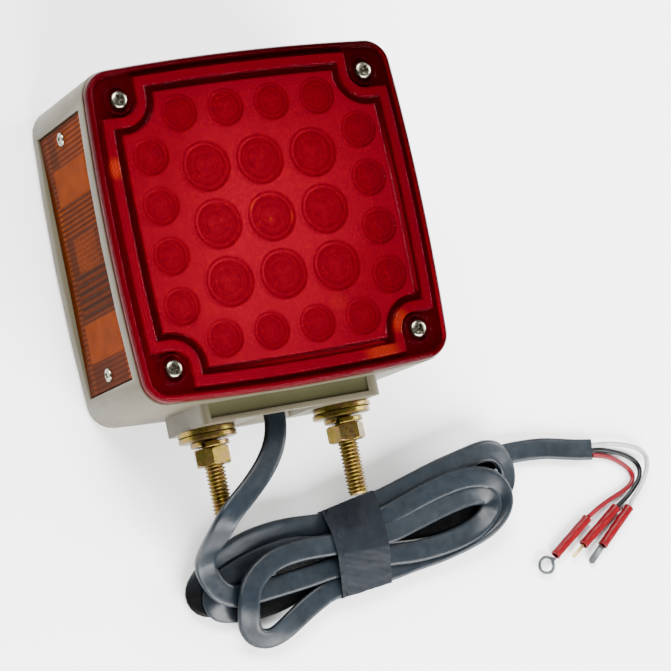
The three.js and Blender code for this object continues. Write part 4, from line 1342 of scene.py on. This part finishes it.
def tape_crease(x, y, z):
    """How far the creases of the tape stand out at a place."""
    broad = noise.noise(Vector((x * CREASES_ALONG, y * CREASES_ROUND, z * CREASES_ROUND)))
    bend = noise.noise(Vector((x * BEND_SCALE, y * BEND_SCALE, 0)))
    fine = math.sin((y * 0.9 + x * 0.35) * FINE_CREASES + 5 * bend)
    return broad * CREASE_DEPTH + fine * FINE_CREASE_DEPTH


def add_tape():
    """Two turns of tape drawn tight round the seven runs, with slanting edges and fine creases."""
    outer, inner = [], []
    for k in range(TAPE_STATIONS + 1):
        share = k / TAPE_STATIONS
        loop = tape_loop(share)
        middle_y = sum(p[0] for p in loop) / len(loop)
        middle_z = sum(p[1] for p in loop) / len(loop)
        outer_ring, inner_ring = [], []
        for y, z in loop:
            away = Vector((y - middle_y, z - middle_z)).normalized()
            slant = (y - middle_y) / SLANT_OVER
            x = (TAPE_LEFT + (TAPE_RIGHT - TAPE_LEFT) * share) * MM
            x += (SLANT_LEFT * slant * (1 - share) + SLANT_RIGHT * slant * share) * MM
            swell = away * (TAPE_THICKNESS + tape_crease(x, y, z))
            outer_ring.append((x, y + swell.x, max(z + swell.y, LOWEST_OUTER)))
            inner_ring.append((x, y + away.x * TAPE_INNER, max(z + away.y * TAPE_INNER, LOWEST_INNER)))
        outer.append(outer_ring)
        inner.append(inner_ring)
    points, faces = rings(outer + inner[::-1] + [outer[0]], capped=False)
    tape = piece("hank_tape_wrap", points, faces, LOOKS["tape"], smooth=60, slot="black_tape")
    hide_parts("hank_tape")


add_tape()

# ---- Terminals ----
SLEEVE_Z = 2.1 * MM
SLEEVE_RADIUS = 1.9 * MM
SLEEVE_STEPS = 40
SLEEVE_SIDES = 24
SLEEVE_BORE = 0.72
SLEEVE_MOUTH = 1.2 * MM
SLEEVE_BELL = 0.08
# Where each crimp starts and ends, as shares of the sleeve's length, and how much it narrows the sleeve.
CRIMPS = ((0.26, 0.42, 0.12), (0.58, 0.76, 0.10))
CRIMP_EASE = 0.08
# Where each sleeve starts and ends.
RING_SLEEVE = ((0.1386, -0.1102), (0.1208, -0.1222))
PIN_SLEEVE = ((0.1528, -0.1082), (0.1344, -0.1204))
BLADE_SLEEVE = ((0.1589, -0.1092), (0.1430, -0.1222))


def add_sleeve(name, node, ends):
    """A soft sleeve, pinched where it is crimped and belled at its ends."""
    start, end = [Vector((x, y, SLEEVE_Z)) for x, y in ends]
    along = (end - start).normalized()
    side = Vector((-along.y, along.x, 0))
    up = Vector((0, 0, 1))
    made = []
    for k in range(SLEEVE_STEPS + 1):
        share = k / SLEEVE_STEPS
        pinch = sum(depth * within(near, far, share, CRIMP_EASE) for near, far, depth in CRIMPS)
        bell = SLEEVE_BELL * (ease(0.92, 1.0, share) + ease(0.08, 0.0, share))
        radius = SLEEVE_RADIUS * (1 + bell)
        wide, high = side * radius * (1 + 0.3 * pinch), up * radius * (1 - pinch)
        centre = start + (end - start) * share
        made.append([centre + wide * math.cos(a) + high * math.sin(a) for a in circle(SLEEVE_SIDES)])
    lip_start = [start + (p - start) * SLEEVE_BORE for p in made[0]]
    lip_end = [end + (p - end) * SLEEVE_BORE for p in made[-1]]
    inner_start = [p + along * SLEEVE_MOUTH for p in lip_start]
    inner_end = [p - along * SLEEVE_MOUTH for p in lip_end]
    points, faces = rings([inner_start, lip_start] + made + [lip_end, inner_end])
    sleeve = piece(name, points, faces, LOOKS["sleeve"], smooth=50, slot="terminal_sleeve")
    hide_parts(node)


add_sleeve("ring_sleeve", "ring_terminal_sleeve", RING_SLEEVE)
add_sleeve("pin_sleeve", "pin_terminal_sleeve", PIN_SLEEVE)
add_sleeve("blade_sleeve", "blade_terminal_sleeve", BLADE_SLEEVE)

# ---- Pieces carried over from the frame, with rounded edges ----
WELD_DISTANCE = 0.00001
BEVEL_ANGLE = 32
PANEL_DEPTH = 50.9 * MM
PANEL_HALF = 34 * MM
PANEL_TOP = LENS_Y - LENS_HALF + 6 * MM


def rounded_copy(name, node, look, width):
    """A copy of a frame node with its sharp edges rounded."""
    source = frame["nodes"][node]
    copy = dressed(linked(name, source.data.copy()), look, BODY, 0)
    bpy.context.view_layer.objects.active = copy
    weld = copy.modifiers.new("weld", "WELD")
    weld.merge_threshold = WELD_DISTANCE
    bevel = copy.modifiers.new("bevel", "BEVEL")
    bevel.width = width
    bevel.segments = 2
    bevel.limit_method = "ANGLE"
    bevel.angle_limit = math.radians(BEVEL_ANGLE)
    evaluated = copy.evaluated_get(bpy.context.evaluated_depsgraph_get())
    mesh = bpy.data.meshes.new_from_object(evaluated)
    copy.modifiers.clear()
    copy.data = mesh
    shade_smooth(mesh, 40)
    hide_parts(node)
    return copy


def mark_panel(housing):
    """Marks the face of the recessed panel on the front of the foot, which looks olive in the photograph."""
    panel = []
    for polygon in housing.data.polygons:
        middle = polygon.center
        flat = polygon.normal.z > 0.9 and abs(middle.z - PANEL_DEPTH) < 0.4 * MM
        panel.append(flat and abs(middle.x) < PANEL_HALF and middle.y < PANEL_TOP)
    mark(housing, "panel", panel, "FACE")


mark_panel(rounded_copy("silver_housing", "housing", LOOKS["housing"], 0.5 * MM))
rounded_copy("lens_gasket", "front_lens_gasket", LOOKS["rubber"], 0.2 * MM)
rounded_copy("side_gasket", "side_marker_gasket", LOOKS["rubber"], 0.2 * MM)
rounded_copy("grommet", "cord_grommet", LOOKS["rubber"], 0.2 * MM)
rounded_copy("ring_tongue", "ring_terminal", LOOKS["tin"], 0.15 * MM)
rounded_copy("blade_tongue", "blade_terminal", LOOKS["tin"], 0.15 * MM)
rounded_copy("pin_tongue", "pin_terminal", LOOKS["brass"], 0.15 * MM)

LOOK_OF_SLOT = {
    "circuit_board": "board",
    "led_epoxy": "emitter",
    "nickel_screw": "nickel",
    "wire_white": "white",
    "wire_black": "black",
    "wire_red": "red",
}
SLOTS = {row["node"]: row["material_slot"] for row in frame["record"]["subparts"]}


def dress_frame_nodes():
    for node, thing in frame["nodes"].items():
        look = LOOK_OF_SLOT.get(SLOTS[node])
        if look:
            thing.data.materials.clear()
            thing.data.materials.append(LOOKS[look])


dress_frame_nodes()


# ---- Stage and light ----
def add_floor():
    look = Look("floor_white", roughness=0.9)
    look.set("base color", look.cloud(0.5, 1, 0.955, 0.965))
    mesh = bpy.data.meshes.new("floor")
    mesh.from_pydata([(-4, -4, 0), (4, -4, 0), (4, 4, 0), (-4, 4, 0)], [], [(0, 1, 2, 3)])
    mesh.materials.append(look.material)
    floor = linked("floor", mesh)


def add_softbox(name, place, size, power):
    """A white rectangular light that faces the origin."""
    data = bpy.data.lights.new(name, "AREA")
    data.shape = "RECTANGLE"
    data.size, data.size_y = size
    data.energy = power
    lamp = linked(name, data)
    lamp.location = place
    lamp.rotation_euler = (-Vector(place)).to_track_quat("-Z", "Y").to_euler()


def add_world(strength):
    world = bpy.data.worlds.new("world")
    bpy.context.scene.world = world
    world.use_nodes = True
    background = world.node_tree.nodes["Background"]
    background.inputs["Color"].default_value = (1, 1, 1, 1)
    background.inputs["Strength"].default_value = strength


add_floor()
add_world(0.16)
add_softbox("key", (-0.45, 1.4, 1.6), (1.3, 1.3), 165)
add_softbox("front", (0.3, -1.9, 1.2), (2.4, 1.4), 290)
add_softbox("right", (1.9, 0.3, 1.0), (1.0, 1.0), 80)
